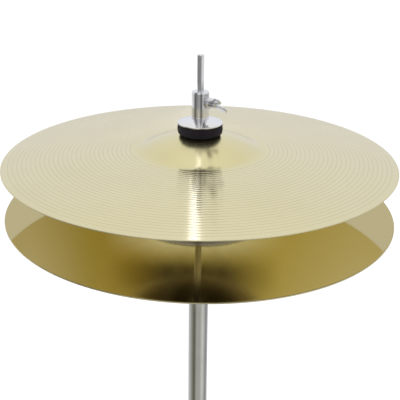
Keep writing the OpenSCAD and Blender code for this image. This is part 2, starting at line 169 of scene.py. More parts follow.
def stage_mesh(name, corners, faces, material):
    mesh = bpy.data.meshes.new(name)
    mesh.from_pydata(corners, [], faces)
    mesh.materials.append(material)
    thing = bpy.data.objects.new(name, mesh)
    bpy.context.scene.collection.objects.link(thing)
    return thing


paper = bpy.data.materials.new("pale_floor")
tree = nodes_of(paper)
cloud = put(tree, "ShaderNodeTexNoise", {"Scale": 1.5, "Detail": 3.0})
# Reflections show patches of a darker floor, so that plated pieces stand out from the white around them
patches = put(tree, "ShaderNodeTexNoise", {"Scale": 7.0, "Detail": 1.0})
mirrored = ramp(tree, patches.outputs["Fac"], [(0.38, 0.12), (0.50, 0.34), (0.62, 0.62)])
shade = put(tree, "ShaderNodeBsdfPrincipled", {"Roughness": 0.9, "Base Color": blend_colour(
    tree, put(tree, "ShaderNodeLightPath").outputs["Is Glossy Ray"],
    ramp(tree, cloud.outputs["Fac"], [(0.3, 0.86), (0.7, 0.88)]), mirrored)})
put(tree, "ShaderNodeOutputMaterial", {"Surface": shade.outputs[0]})
stage_mesh("floor", [(-20, -20, 0), (20, -20, 0), (20, 20, 0), (-20, 20, 0)], [(0, 1, 2, 3)], paper)

cards = bpy.data.materials.new("reflector_cards")
tree = nodes_of(cards)
turn, level_z = turn_about(tree, put(tree, "ShaderNodeTexCoord").outputs["Object"])
# Below the cymbals the cards are what the tubes show, above that the rod and the clutch. Each pair
# is a stretch of height over which one band of cards gives way to the next.
tube_band_top, clutch_band_foot, clutch_band_top = (0.50, 0.58), (0.735, 0.745), (0.785, 0.795)
low_cards = ramp(tree, turn, [
    (0.0, 0.8), (0.2, 0.5), (0.28, (0.3, 0.3, 0.25)), (0.38, (0.1, 0.1, 0.07)), (0.46, (0.4, 0.4, 0.35)),
    (0.56, (0.4, 0.4, 0.35)), (0.65, (0.65, 0.65, 0.6)), (0.78, 0.25), (0.9, 0.6), (1.0, 0.8)])
high_cards = ramp(tree, turn, [(0.0, 0.75), (0.15, 0.25), (0.5, 0.25), (0.65, 0.8), (1.0, 0.75)])
clutch_cards = ramp(tree, turn, [
    (0.0, 0.7), (0.2, 0.8), (0.3, 0.1), (0.4, 0.3), (0.47, 0.4), (0.53, 0.05), (0.6, 0.6), (0.7, 0.3),
    (1.0, 0.7)])
upper_cards = blend_colour(tree, spread(tree, level_z, 0.0, 1.0, *clutch_band_top), clutch_cards, high_cards)
middle_cards = blend_colour(tree, 0.5, low_cards, (0.88, 0.88, 0.86))
upper_cards = blend_colour(tree, spread(tree, level_z, 0.0, 1.0, *clutch_band_foot), middle_cards,
                           upper_cards)
tones = blend_colour(tree, spread(tree, level_z, 0.0, 1.0, *tube_band_top), low_cards, upper_cards)
# Straight behind hangs the sheet that shows between the two cymbals: dark in the middle, above a pale foot
# The sheet glows: it is a painted shade and painted reflection for what shows between the two cymbals.
sheet_light, sheet_foot, sheet_top, sheet_side = (2.3, 2.2, 1.6), (0.57, 0.60), (0.74, 0.78), (0.10, 0.13)
lateral = math_node(tree, "FRACT", math_node(tree, "ADD", turn, 0.5))
drop = ramp(tree, spread(tree, level_z, 0.0, 1.0, 0.60, 0.70), [
    (0.2, (0.8, 1.0, 2.2)), (0.4, (0.45, 0.45, 0.4)), (0.55, (0.05, 0.05, 0.04)), (0.8, (0.05, 0.05, 0.08)),
    (0.95, (0.3, 0.3, 0.35))])
wings = ramp(tree, spread(tree, lateral, 0.0, 1.0, 0.44, 0.56), [
    (0.05, (0.6, 0.65, 0.95)), (0.3, (0.5, 0.5, 0.35)), (0.65, (0.35, 0.3, 0.1)), (0.8, (0.4, 0.4, 0.3)),
    (0.95, (0.55, 0.6, 1.0))])
aside = math_node(tree, "ABSOLUTE", math_node(tree, "SUBTRACT", lateral, 0.5))
hung = blend_colour(tree, spread(tree, aside, 0.0, 1.0, 0.01, 0.03), drop, wings)
sheet_tone = put(tree, "ShaderNodeVectorMath", {0: hung, 1: sheet_light}, operation="MULTIPLY").outputs[0]
across_sheet = spread(tree, aside, 1.0, 0.0, *sheet_side)
up_sheet = math_node(tree, "MULTIPLY", spread(tree, level_z, 0.0, 1.0, *sheet_foot),
                     spread(tree, level_z, 1.0, 0.0, *sheet_top))
there = math_node(tree, "MULTIPLY", across_sheet, up_sheet)
glow = put(tree, "ShaderNodeEmission", {"Color": blend_colour(tree, there, tones, sheet_tone)})
put(tree, "ShaderNodeOutputMaterial", {"Surface": glow.outputs[0]})
card_r, card_top, card_sides = 0.5, 0.845, 96
corners = []
for step in range(card_sides):
    angle = math.tau * step / card_sides
    for height in (0.002, card_top):
        corners.append((card_r * math.cos(angle), card_r * math.sin(angle), height))
faces = []
for step in range(card_sides):
    nearer, farther = 2 * step, 2 * ((step + 1) % card_sides)
    faces.append((nearer, nearer + 1, farther + 1, farther))
ring = stage_mesh("reflector_cards", corners, faces, cards)

strip = bpy.data.materials.new("strip_light")
tree = nodes_of(strip)
glow = put(tree, "ShaderNodeEmission", {"Color": (1.0, 1.02, 1.22, 1), "Strength": 1.9})
put(tree, "ShaderNodeOutputMaterial", {"Surface": glow.outputs[0]})
strip_x, strip_w = -0.024, 0.014
tall = stage_mesh("strip_light", [
    (strip_x - strip_w, 1.9, 1.75), (strip_x + strip_w, 1.9, 1.75),
    (strip_x + 4 * strip_w, 0.5, 3.9), (strip_x - 4 * strip_w, 0.5, 3.9)], [(0, 1, 2, 3)], strip)
for card in (ring, tall):
    card.visible_camera = False
    card.visible_diffuse = False
    card.visible_shadow = False
    card.visible_transmission = False

softbox = bpy.data.lights.new("overhead_softbox", "AREA")
softbox.shape = "RECTANGLE"
softbox.size, softbox.size_y = 2.2, 1.6
softbox.energy = 28.0
overhead = bpy.data.objects.new("overhead_softbox", softbox)
bpy.context.scene.collection.objects.link(overhead)
overhead.location = (-0.8, -0.6, 2.9)
overhead.rotation_euler = (Vector((0, 0, 0.8)) - overhead.location).to_track_quat("-Z", "Y").to_euler()
fill = bpy.data.lights.new("ceiling_fill", "SUN")
fill.energy, fill.angle = 0.6, math.radians(60)
ceiling = bpy.data.objects.new("ceiling_fill", fill)
bpy.context.scene.collection.objects.link(ceiling)
ceiling.visible_glossy = overhead.visible_glossy = False


# ---------------------------------------------------------------------------------------------
# The base frame is one aluminium die casting: a foot bar, an arch for the pedal's toe, and a boss
# that the lower tube is pressed into. Its skin is blasted, with brighter metal on rubbed edges.
def effect(name, inputs, outputs):
    """An empty shader node group with named inputs and outputs."""
    group = bpy.data.node_groups.new(name, "ShaderNodeTree")
    for label, default in inputs.items():
        group.interface.new_socket(label, in_out="INPUT",
                                   socket_type="NodeSocketFloat").default_value = default
    for label in outputs:
        kind = "NodeSocketVector" if label == "Normal" else "NodeSocketFloat"
        group.interface.new_socket(label, in_out="OUTPUT", socket_type=kind)
    return group, group.nodes.new("NodeGroupInput"), group.nodes.new("NodeGroupOutput")


def use(tree, group, **values):
    """Places an effect in a material with its own values."""
    node = tree.nodes.new("ShaderNodeGroup")
    node.node_tree = group
    for label, value in values.items():
        socket = node.inputs[label.replace("_", " ")]
        if isinstance(value, bpy.types.NodeSocket):
            tree.links.new(value, socket)
        else:
            socket.default_value = value
    return node


# Grain: a fine even roughness, for blasted metal, moulded rubber and powder coat
grain, inside, outside = effect("surface_grain", {"Scale": 900.0, "Depth": 0.05}, ["Shade", "Height"])
where = put(grain, "ShaderNodeTexCoord").outputs["Object"]
fine = put(grain, "ShaderNodeTexNoise", {"Vector": where, "Scale": inside.outputs["Scale"], "Detail": 4.0,
                                         "Roughness": 0.65})
coarse = put(grain, "ShaderNodeTexNoise", {
    "Vector": where, "Scale": math_node(grain, "MULTIPLY", inside.outputs["Scale"], 0.12), "Detail": 2.0})
mixed = math_node(grain, "ADD", math_node(grain, "MULTIPLY", fine.outputs["Fac"], 0.7),
                  math_node(grain, "MULTIPLY", coarse.outputs["Fac"], 0.3))
grain.links.new(mixed, outside.inputs["Shade"])
grain.links.new(math_node(grain, "MULTIPLY", mixed, inside.outputs["Depth"]), outside.inputs["Height"])

# Rub: where corners have been rubbed bare, broken up by noise
rub, inside, outside = effect("edge_rub", {"Width": 0.0012, "Amount": 1.0}, ["Mask"])
rounded = put(rub, "ShaderNodeBevel", {"Radius": inside.outputs["Width"]}, samples=4)
shape = put(rub, "ShaderNodeNewGeometry")
likeness = put(rub, "ShaderNodeVectorMath", {0: rounded.outputs[0], 1: shape.outputs["Normal"]},
               operation="DOT_PRODUCT")
corner = put(rub, "ShaderNodeMapRange", {"Value": likeness.outputs["Value"], "From Min": 0.985,
                                         "From Max": 0.90})
patch = put(rub, "ShaderNodeTexNoise", {"Vector": put(rub, "ShaderNodeTexCoord").outputs["Object"],
                                        "Scale": 70.0, "Detail": 5.0})
broken = put(rub, "ShaderNodeMapRange", {"Value": patch.outputs["Fac"], "From Min": 0.4, "From Max": 0.62})
worn = math_node(rub, "MULTIPLY", corner.outputs[0], broken.outputs[0])
rub.links.new(math_node(rub, "MULTIPLY", worn, inside.outputs["Amount"], clamp=True), outside.inputs["Mask"])


def bump(tree, height, distance=0.001, strength=1.0):
    return put(tree, "ShaderNodeBump", {"Height": height, "Distance": distance,
                                        "Strength": strength}).outputs[0]


def finish_material(name, shader_values):
    """Makes the material from a function's shader values. Returns the material."""
    material = bpy.data.materials.new(name)
    tree = nodes_of(material)
    shader = put(tree, "ShaderNodeBsdfPrincipled", shader_values(tree))
    put(tree, "ShaderNodeOutputMaterial", {"Surface": shader.outputs[0]})
    return material


def cast_alloy(tree):
    skin = use(tree, grain, Scale=1100.0, Depth=0.35)
    rubbed = use(tree, rub, Width=0.0011, Amount=0.8)
    tone = ramp(tree, skin.outputs["Shade"], [(0.3, (0.43, 0.44, 0.45)), (0.7, (0.55, 0.56, 0.575))])
    return {"Base Color": blend_colour(tree, rubbed.outputs["Mask"], tone, (0.78, 0.78, 0.79)),
            "Metallic": 0.85,
            "Roughness": spread(tree, skin.outputs["Shade"], 0.36, 0.52, 0.3, 0.7),
            "Normal": bump(tree, skin.outputs["Height"], 0.0004)}


cast_skin = finish_material("cast_alloy", cast_alloy)


def link_piece(name, mesh, material, crease=35):
    """A new object from a mesh, smooth but for edges sharper than crease degrees."""
    mesh.materials.clear()
    mesh.materials.append(material)
    mesh.polygons.foreach_set("use_smooth", [True] * len(mesh.polygons))
    mesh.set_sharp_from_angle(angle=math.radians(crease))
    piece = bpy.data.objects.new(name, mesh)
    bpy.context.scene.collection.objects.link(piece)
    return piece


def mount_piece(piece, body, slot, *nodes):
    """Rides a finished piece on its body, in place of the CAD nodes."""
    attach(piece, body)
    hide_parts(*nodes)
    return piece


def rounded_copy(node, material, radius, name=None, segments=2):
    """A copy of a CAD node, welded, with its flats cleaned and its sharp edges rounded, radius in mm."""
    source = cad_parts[node].data
    mesh = bpy.data.meshes.new(name or node + "_finished")
    mesh.from_pydata([v.co[:] for v in source.vertices], [], [p.vertices[:] for p in source.polygons])
    shape = bmesh.new()
    shape.from_mesh(mesh)
    bmesh.ops.remove_doubles(shape, verts=shape.verts, dist=1e-6)
    bmesh.ops.dissolve_limit(shape, angle_limit=math.radians(0.6), verts=shape.verts, edges=shape.edges,
                             delimit={"NORMAL"})
    shape.to_mesh(mesh)
    shape.free()
    piece = link_piece(mesh.name, mesh, material)
    if radius:
        edge = piece.modifiers.new("rounded", "BEVEL")
        edge.width = radius * MM
        edge.segments = segments
        edge.limit_method = "ANGLE"
        edge.angle_limit = math.radians(35)
        settle(piece)
    return piece


def settle(piece):
    """Turns a piece's modifiers into its own plain mesh."""
    bpy.context.view_layer.update()
    finished = bpy.data.meshes.new_from_object(piece.evaluated_get(bpy.context.evaluated_depsgraph_get()))
    finished.name = piece.name
    piece.modifiers.clear()
    piece.data = finished
    return piece


def carry_over(nodes, body, slot, material, radius):
    """Finishes several like CAD nodes of one body, each as its own piece."""
    for node in nodes:
        mount_piece(rounded_copy(node, material, radius), body, slot, node)


carry_over(["base_frame"], "stand", "cast_frame", cast_skin, 1.2)


# ---------------------------------------------------------------------------------------------
# Rubber under the frame and the heel keeps the stand from creeping. It is moulded, dusty in the
# grain, and glued into the casting's underside.
def black_rubber(tree):
    skin = use(tree, grain, Scale=650.0, Depth=0.6)
    return {"Base Color": ramp(tree, skin.outputs["Shade"], [(0.25, 0.012), (0.6, 0.024), (0.85, 0.055)]),
            "Roughness": spread(tree, skin.outputs["Shade"], 0.6, 0.85, 0.3, 0.7),
            "Normal": bump(tree, skin.outputs["Height"], 0.0006)}


rubber_skin = finish_material("black_rubber", black_rubber)
carry_over(["base_pad", "heel_pad"], "stand", "rubber", rubber_skin, 0.5)


# ---------------------------------------------------------------------------------------------
# Two pointed spurs screw down through the foot bar and bite into a rug. They are zinc-plated
# steel, with a blue and straw tint in the plating.
def zinc(tree):
    where = put(tree, "ShaderNodeTexCoord").outputs["Object"]
    tint = put(tree, "ShaderNodeTexNoise", {"Vector": where, "Scale": 45.0, "Detail": 3.0})
    skin = use(tree, grain, Scale=1500.0, Depth=0.12)
    return {"Base Color": ramp(tree, tint.outputs["Fac"],
                               [(0.3, (0.50, 0.53, 0.58)), (0.5, (0.60, 0.60, 0.58)),
                                                           (0.7, (0.62, 0.58, 0.47))]),
            "Metallic": 1.0,
            "Roughness": spread(tree, skin.outputs["Shade"], 0.24, 0.42, 0.3, 0.7),
            "Normal": bump(tree, skin.outputs["Height"], 0.0003)}


zinc_skin = finish_material("zinc_plate", zinc)
for side in ("left", "right"):
    mount_piece(rounded_copy(f"spur_{side}", zinc_skin, 0.6), f"spur_{side}", "zinc_steel", f"spur_{side}")


# ---------------------------------------------------------------------------------------------
# The lower tube and the stabiliser rods are chromed steel. The plating mirrors the room, with
# faint drawing lines, smudges and hairline scratches from handling.
marks, inside, outside = effect("handling_marks", {"Scale": 60.0, "Amount": 1.0}, ["Smudge", "Scratch"])
where = put(marks, "ShaderNodeTexCoord").outputs["Object"]
cloudy = put(marks, "ShaderNodeTexNoise", {"Vector": where, "Scale": inside.outputs["Scale"], "Detail": 5.0,
                                           "Roughness": 0.6})
smudge = put(marks, "ShaderNodeMapRange", {"Value": cloudy.outputs["Fac"], "From Min": 0.45,
                                           "From Max": 0.75})
marks.links.new(math_node(marks, "MULTIPLY", smudge.outputs[0], inside.outputs["Amount"]),
                outside.inputs["Smudge"])
squeezed = put(marks, "ShaderNodeMapping", {"Vector": where, "Scale": (900, 900, 14)})
hairs = put(marks, "ShaderNodeTexNoise", {"Vector": squeezed.outputs[0], "Scale": 1.0, "Detail": 2.0})
scratch = put(marks, "ShaderNodeMapRange", {"Value": hairs.outputs["Fac"], "From Min": 0.62, "From Max": 0.8})
marks.links.new(math_node(marks, "MULTIPLY", scratch.outputs[0], inside.outputs["Amount"]),
                outside.inputs["Scratch"])


def chrome(tree):
    worn = use(tree, marks, Scale=42.0, Amount=1.0)
    rough = math_node(tree, "ADD", spread(tree, worn.outputs["Smudge"], 0.06, 0.13),
                      math_node(tree, "MULTIPLY", worn.outputs["Scratch"], 0.1))
    return {"Base Color": ramp(tree, worn.outputs["Smudge"],
                               [(0.0, (0.83, 0.83, 0.85)), (1.0, (0.76, 0.76, 0.76))]),
            "Metallic": 1.0, "Roughness": rough,
            "Normal": bump(tree, worn.outputs["Scratch"], 0.00002)}


chrome_skin = finish_material("chrome_plate", chrome)
SIDES = 96


def turned(name, outline, material, sides=SIDES, crease=30):
    """A body of revolution about Z. outline is (radius, height) in mm, once round the section, with its
    inside on the left hand. Points on the axis close it."""
    shape = bmesh.new()
    rings = []
    for radius, height in outline:
        if radius == 0:
            rings.append([shape.verts.new((0, 0, height * MM))] * sides)
            continue
        rings.append([shape.verts.new((radius * MM * math.cos(math.tau * k / sides),
                                       radius * MM * math.sin(math.tau * k / sides), height * MM))
                      for k in range(sides)])
    closed = outline[0][0] != 0
    spans = list(zip(rings, rings[1:])) + ([(rings[-1], rings[0])] if closed else [])
    for low, high in spans:
        for k in range(sides):
            corners = []
            for corner in (low[k], low[(k + 1) % sides], high[(k + 1) % sides], high[k]):
                if corner not in corners:
                    corners.append(corner)
            if len(corners) > 2:
                shape.faces.new(corners)
    bmesh.ops.recalc_face_normals(shape, faces=shape.faces)
    mesh = bpy.data.meshes.new(name)
    shape.to_mesh(mesh)
    shape.free()
    return link_piece(name, mesh, material, crease)


def fillet(r, z, radius, start, end, steps=4):
    """Points round a corner, on an arc about (r, z) from start to end degrees."""
    return [(r + radius * math.cos(math.radians(start + (end - start) * k / steps)),
             z + radius * math.sin(math.radians(start + (end - start) * k / steps))) for k in range(steps
                 + 1)]


def sleeve_outline(outer, inner, low, high, edge):
    """The section of a tube or ring with rounded edges, in mm."""
    return (fillet(outer - edge, low + edge, edge, -90, 0) + fillet(outer - edge, high - edge, edge, 0, 90)
            + fillet(inner + edge * 0.5, high - edge * 0.5, edge * 0.5, 90, 180, 2)
            + fillet(inner + edge * 0.5, low + edge * 0.5, edge * 0.5, 180, 270, 2))


def sizes_of(node):
    """A turned CAD node's outer radius and its ends, in mm."""
    low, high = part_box(node)
    return (high.x - low.x) / 2 / MM, low.z / MM, high.z / MM


outer, low, high = sizes_of("lower_tube")
mount_piece(turned("lower_tube_finished", sleeve_outline(outer, outer - 1.5, low, high, 0.5), chrome_skin),
            "stand", "chrome", "lower_tube")
carry_over(["stabiliser_rods"], "stand", "chrome", chrome_skin, 0.6)


# ---------------------------------------------------------------------------------------------
# The ring that holds the braces is cast, and is riveted to them with plated rivets.
carry_over(["brace_ring"], "stand", "cast_frame", cast_skin, 0.8)
carry_over(["brace_ring_rivets"], "stand", "zinc_steel", zinc_skin, 0.7)


# ---------------------------------------------------------------------------------------------
# The tension dial is a ribbed steel collar. Turning it by hand raises or lowers the return
# spring's lower end, which sets how hard the pedal pushes back.
def sculptor(name, inputs):
    """An empty geometry node tree. inputs are label: default, and the default gives the kind."""
    tree = bpy.data.node_groups.new(name, "GeometryNodeTree")
    kinds = {int: "NodeSocketInt", float: "NodeSocketFloat", tuple: "NodeSocketVector"}
    tree.interface.new_socket("Geometry", in_out="INPUT", socket_type="NodeSocketGeometry")
    for label, default in inputs.items():
        tree.interface.new_socket(label, in_out="INPUT",
                                  socket_type=kinds[type(default)]).default_value = default
    tree.interface.new_socket("Finish", in_out="INPUT", socket_type="NodeSocketMaterial")
    tree.interface.new_socket("Geometry", in_out="OUTPUT", socket_type="NodeSocketGeometry")
    return tree, tree.nodes.new("NodeGroupInput").outputs


def close_tree(tree, given, *shapes):
    """Ends a tree: the shapes are joined, instances become mesh, and all of it takes one material."""
    both = put(tree, "GeometryNodeJoinGeometry")
    for shape in reversed(shapes):
        tree.links.new(shape, both.inputs[0])
    real = put(tree, "GeometryNodeRealizeInstances", {"Geometry": both.outputs[0]})
    dressed = put(tree, "GeometryNodeSetMaterial", {"Geometry": real.outputs[0], "Material": given["Finish"]})
    put(tree, "NodeGroupOutput", {0: dressed.outputs[0]})


def sculpt(piece, tree, crease=35, **values):
    """Runs a tree on a piece with its own values, and keeps the result as a plain mesh."""
    modifier = piece.modifiers.new(tree.name, "NODES")
    modifier.node_group = tree
    values["Finish"] = piece.data.materials[0]
    for socket in tree.interface.items_tree:
        if socket.in_out == "INPUT" and socket.name.replace(" ", "_") in values:
            modifier[socket.identifier] = values[socket.name.replace(" ", "_")]
    settle(piece)
    piece.data.polygons.foreach_set("use_smooth", [True] * len(piece.data.polygons))
    piece.data.set_sharp_from_angle(angle=math.radians(crease))
    return piece


ring_of_ribs, given = sculptor("ring_of_ribs", {
    "Count": 24, "Ring Radius": 0.01, "Rib Radius": 0.001, "Rib Length": 0.01, "Height": 0.0})
circle = put(ring_of_ribs, "GeometryNodeMeshCircle",
             {"Vertices": given["Count"], "Radius": given["Ring Radius"]})
lift = put(ring_of_ribs, "ShaderNodeCombineXYZ", {"Z": given["Height"]})
stations = put(ring_of_ribs, "GeometryNodeSetPosition",
               {"Geometry": circle.outputs[0], "Offset": lift.outputs[0]})
rib = put(ring_of_ribs, "GeometryNodeMeshCylinder", {
    "Vertices": 10, "Radius": given["Rib Radius"], "Depth": given["Rib Length"]})
ribs = put(ring_of_ribs, "GeometryNodeInstanceOnPoints",
           {"Points": stations.outputs[0], "Instance": rib.outputs["Mesh"]})
close_tree(ring_of_ribs, given, given["Geometry"], ribs.outputs[0])


def polished_steel(tree):
    where = put(tree, "ShaderNodeTexCoord").outputs["Object"]
    worn = use(tree, marks, Scale=90.0, Amount=0.8)
    milky = put(tree, "ShaderNodeTexNoise", {"Vector": where, "Scale": 160.0, "Detail": 3.0})
    rough = math_node(tree, "ADD", spread(tree, milky.outputs["Fac"], 0.10, 0.17),
                      math_node(tree, "MULTIPLY", worn.outputs["Scratch"], 0.12))
    return {"Base Color": ramp(tree, worn.outputs["Smudge"],
                               [(0.0, (0.80, 0.80, 0.82)), (1.0, (0.70, 0.69, 0.68))]),
            "Metallic": 1.0, "Roughness": rough, "Normal": bump(tree, worn.outputs["Scratch"], 0.00002)}


steel_skin = finish_material("polished_steel", polished_steel)
dial_r, dial_low, dial_rim_top, dial_neck_r, dial_top, dial_bore = 16.6, 141.0, 151.0, 10.0, 176.0, 4.5
dial = turned("tension_dial_finished", (
    fillet(dial_r - 1, dial_low + 1, 1, -90, 0) + fillet(dial_r - 1, dial_rim_top - 1, 1, 0, 90)
    + [(dial_neck_r, dial_rim_top)] + fillet(dial_neck_r - 0.6, dial_top - 0.6, 0.6, 0, 90)
    + fillet(dial_bore + 0.4, dial_top - 0.4, 0.4, 90, 180)
    + fillet(dial_bore + 0.4, dial_low + 0.4, 0.4, 180, 270)),
    steel_skin)
sculpt(dial, ring_of_ribs, Count=26, Ring_Radius=dial_r * MM, Rib_Radius=0.0009, Rib_Length=0.0082,
       Height=(dial_low + dial_rim_top) / 2 * MM)
mount_piece(dial, "tension_dial", "rod_chrome", "tension_dial")


# ---------------------------------------------------------------------------------------------
# The height clamp is cast and slit down one side. A nylon bush in it centres the upper tube, and
# a wing bolt through its ears, with a hexagon nut behind, squeezes it shut.
def nylon(tree):
    skin = use(tree, grain, Scale=300.0, Depth=0.1)
    return {"Base Color": ramp(tree, skin.outputs["Shade"], [(0.3, 0.016), (0.8, 0.032)]),
            "Roughness": spread(tree, skin.outputs["Shade"], 0.32, 0.46, 0.3, 0.7),
            "Subsurface Weight": 0.03, "Normal": bump(tree, skin.outputs["Height"], 0.0002)}


nylon_skin = finish_material("black_nylon", nylon)
carry_over(["height_clamp"], "stand", "cast_frame", cast_skin, 1.0)
carry_over(["height_bush"], "stand", "nylon", nylon_skin, 0.4)
carry_over(["height_clamp_nut"], "stand", "zinc_steel", zinc_skin, 0.5)


def soft_outline(discs, bars, centre, melt, steps=96):
    """The outline in mm of a flat shape that melts together discs (x, y, radius) and round-ended bars
    (x0, y0, x1, y1, radius), seen from a centre inside it."""
    def depth(x, y):
        total = 0.0
        for cx, cy, radius in discs:
            total += math.exp(-(math.hypot(x - cx, y - cy) - radius) / melt)
        for x0, y0, x1, y1, radius in bars:
            run = ((x - x0) * (x1 - x0) + (y - y0) * (y1 - y0)) / ((x1 - x0) ** 2 + (y1 - y0) ** 2)
            run = min(1.0, max(0.0, run))
            total += math.exp(-(math.hypot(x - x0 - run * (x1 - x0),
                                           y - y0 - run * (y1 - y0)) - radius) / melt)
        return -melt * math.log(max(total, 1e-30))
    outline = []
    for step in range(steps):
        angle = math.tau * step / steps
        far = 40.0
        while depth(centre[0] + far * math.cos(angle), centre[1] + far * math.sin(angle)) > 0 and far > 0.2:
            far -= 0.1
        outline.append((centre[0] + far * math.cos(angle), centre[1] + far * math.sin(angle)))
    return outline


def plate_mesh(name, outline, low, high, edge, material, rings=3):
    """A flat plate from its outline in X and Y, between two heights, with rounded edges, in mm."""
    shape = bmesh.new()
    centre_x = sum(x for x, y in outline) / len(outline)
    centre_y = sum(y for x, y in outline) / len(outline)
    levels = []
    for step in range(rings + 1):
        turn = math.pi / 2 * step / rings
        levels.append((edge * (1 - math.sin(turn)), low + edge * (1 - math.cos(turn))))
    levels += [(inset, low + high - height) for inset, height in reversed(levels)]
    loops = []
    count = len(outline)
    for inset, height in levels:
        loop = []
        for k, (x, y) in enumerate(outline):
            before, after = outline[k - 1], outline[(k + 1) % count]
            normal = Vector((after[1] - before[1], before[0] - after[0])).normalized()
            loop.append(shape.verts.new(((x - inset * normal.x) * MM, (y - inset * normal.y) * MM,
                                         height * MM)))
        loops.append(loop)
    for lower, upper in zip(loops, loops[1:]):
        for k in range(count):
            shape.faces.new((lower[k], lower[(k + 1) % count], upper[(k + 1) % count], upper[k]))
    for loop, height in ((loops[0], low), (loops[-1], high)):
        middle = shape.verts.new((centre_x * MM, centre_y * MM, height * MM))
        for k in range(count):
            shape.faces.new((loop[k], loop[(k + 1) % count], middle))
    bmesh.ops.recalc_face_normals(shape, faces=shape.faces)
    mesh = bpy.data.meshes.new(name)
    shape.to_mesh(mesh)
    shape.free()
    return link_piece(name, mesh, material)


def joined(name, parts, crease=35):
    """One piece from several closed ones, in the material of the first."""
    shape = bmesh.new()
    material = parts[0].data.materials[0]
    for part in parts:
        shape.from_mesh(part.data)
        bpy.data.objects.remove(part)
    mesh = bpy.data.meshes.new(name)
    shape.to_mesh(mesh)
    shape.free()
    return link_piece(name, mesh, material, crease)


def winged(name, place, shank_r, start, hub, reach, height, blade, material):
    """A cast wing screw along its own X: the shank runs from start to hub, then the wings to hub + reach."""
    along_x = Matrix.Rotation(math.radians(90), 4, "Y")
    neck = shank_r + 1.9
    stem = turned(name + "_stem", (
        [(0, start)] + fillet(shank_r - 0.3, start + 0.3, 0.3, -90, 0) + [(shank_r, hub - 0.4)]
        + fillet(neck + 0.1, hub + 0.6, 0.6, -90, 0) + fillet(neck + 0.1, hub + 1.5, 0.6, 0, 90)
        + [(neck - 0.5, hub + 2.6), (neck - 0.9, hub + reach * 0.30)]
        + fillet(neck - 2.6, hub + reach * 0.42, 1.6, 0, 90) + [(0, hub + reach * 0.42 + 1.6)]), material, 40)
    stem.data.transform(along_x)
    lobes = soft_outline(
        [(hub + reach * 0.74, side * height * 0.66, reach * 0.235) for side in (-1, 1)],
        [(hub + reach * 0.22, side * 1.5, hub + reach * 0.72, side * height * 0.6,
          reach * 0.15) for side in (-1, 1)],
        (hub + reach * 0.36, 0), 0.35)
    wing = plate_mesh(name + "_wing", lobes, -blade / 2, blade / 2, blade * 0.42, material)
    wing.data.transform(Matrix.Rotation(math.radians(90), 4, "X"))
    screw = joined(name, [stem, wing])
    screw.data.transform(place)
    return screw


def screw_place(x, y, z, azimuth, roll):
    return (Matrix.Translation((x * MM, y * MM, z * MM)) @ Matrix.Rotation(math.radians(azimuth), 4, "Z")
            @ Matrix.Rotation(math.radians(roll), 4, "X"))


clamp_screw = winged("height_wing_bolt_finished", screw_place(29, 0, 508, -90, 30), 3, -17, 13, 26, 13, 3.0,
                     steel_skin)
mount_piece(clamp_screw, "height_wing_bolt", "rod_chrome", "height_wing_bolt")


# ---------------------------------------------------------------------------------------------
# The heel plate is cast, ribbed for grip, and hinged to the footboard by a plated steel pin.
row_of_ribs, given = sculptor("row_of_ribs", {
    "Count": 5, "Start": (0.0, 0.0, 0.0), "Step": (0.0, 0.01, 0.0), "Turn": (0.0, math.pi / 2, 0.0),
    "Rib Radius": 0.001, "Rib Length": 0.05})
line = put(row_of_ribs, "GeometryNodeMeshLine", {
    "Count": given["Count"], "Start Location": given["Start"], "Offset": given["Step"]}, mode="OFFSET")
rib = put(row_of_ribs, "GeometryNodeMeshCylinder", {
    "Vertices": 16, "Radius": given["Rib Radius"], "Depth": given["Rib Length"]})
facing = put(row_of_ribs, "FunctionNodeEulerToRotation", {0: given["Turn"]})
ribs = put(row_of_ribs, "GeometryNodeInstanceOnPoints", {
    "Points": line.outputs[0], "Instance": rib.outputs["Mesh"], "Rotation": facing.outputs[0]})
close_tree(row_of_ribs, given, given["Geometry"], ribs.outputs[0])

heel_y, heel_top = -287.68, 9.0
heel = rounded_copy("heel_plate", cast_skin, 0.9)
sculpt(heel, row_of_ribs, Count=5, Start=(0, (heel_y - 51) * MM, heel_top * MM), Step=(0, 7 * MM, 0),
       Rib_Radius=0.0011, Rib_Length=0.054)
mount_piece(heel, "stand", "cast_frame", "heel_plate")
carry_over(["heel_hinge_pin"], "stand", "zinc_steel", zinc_skin, 0.7)


# ---------------------------------------------------------------------------------------------
# The footboard is a cast plate with a slot near the toe and cross ribs for the shoe. A steel
# bracket bolted under its toe takes the pin that pulls the chain.
toe_y, heel_z, toe_z, board_face = -2.68, 20.0, 77.0, 7.0
slope = math.atan2(toe_z - heel_z, toe_y - heel_y)
board_along = Vector((0, math.cos(slope), math.sin(slope)))
board_off = Vector((0, -math.sin(slope), math.cos(slope)))
first_rib = (Vector((0, heel_y, heel_z)) + 62 * board_along + board_face * board_off) * MM
board = rounded_copy("footboard", cast_skin, 1.0)
sculpt(board, row_of_ribs, Count=16, Start=tuple(first_rib), Step=tuple(9.5 * MM * board_along),
       Rib_Radius=0.0012, Rib_Length=0.068)
mount_piece(board, "pedal", "cast_frame", "footboard")
carry_over(["toe_bracket"], "pedal", "rod_chrome", steel_skin, 0.5)
carry_over(["toe_pin", "toe_bolts"], "pedal", "zinc_steel", zinc_skin, 0.6)


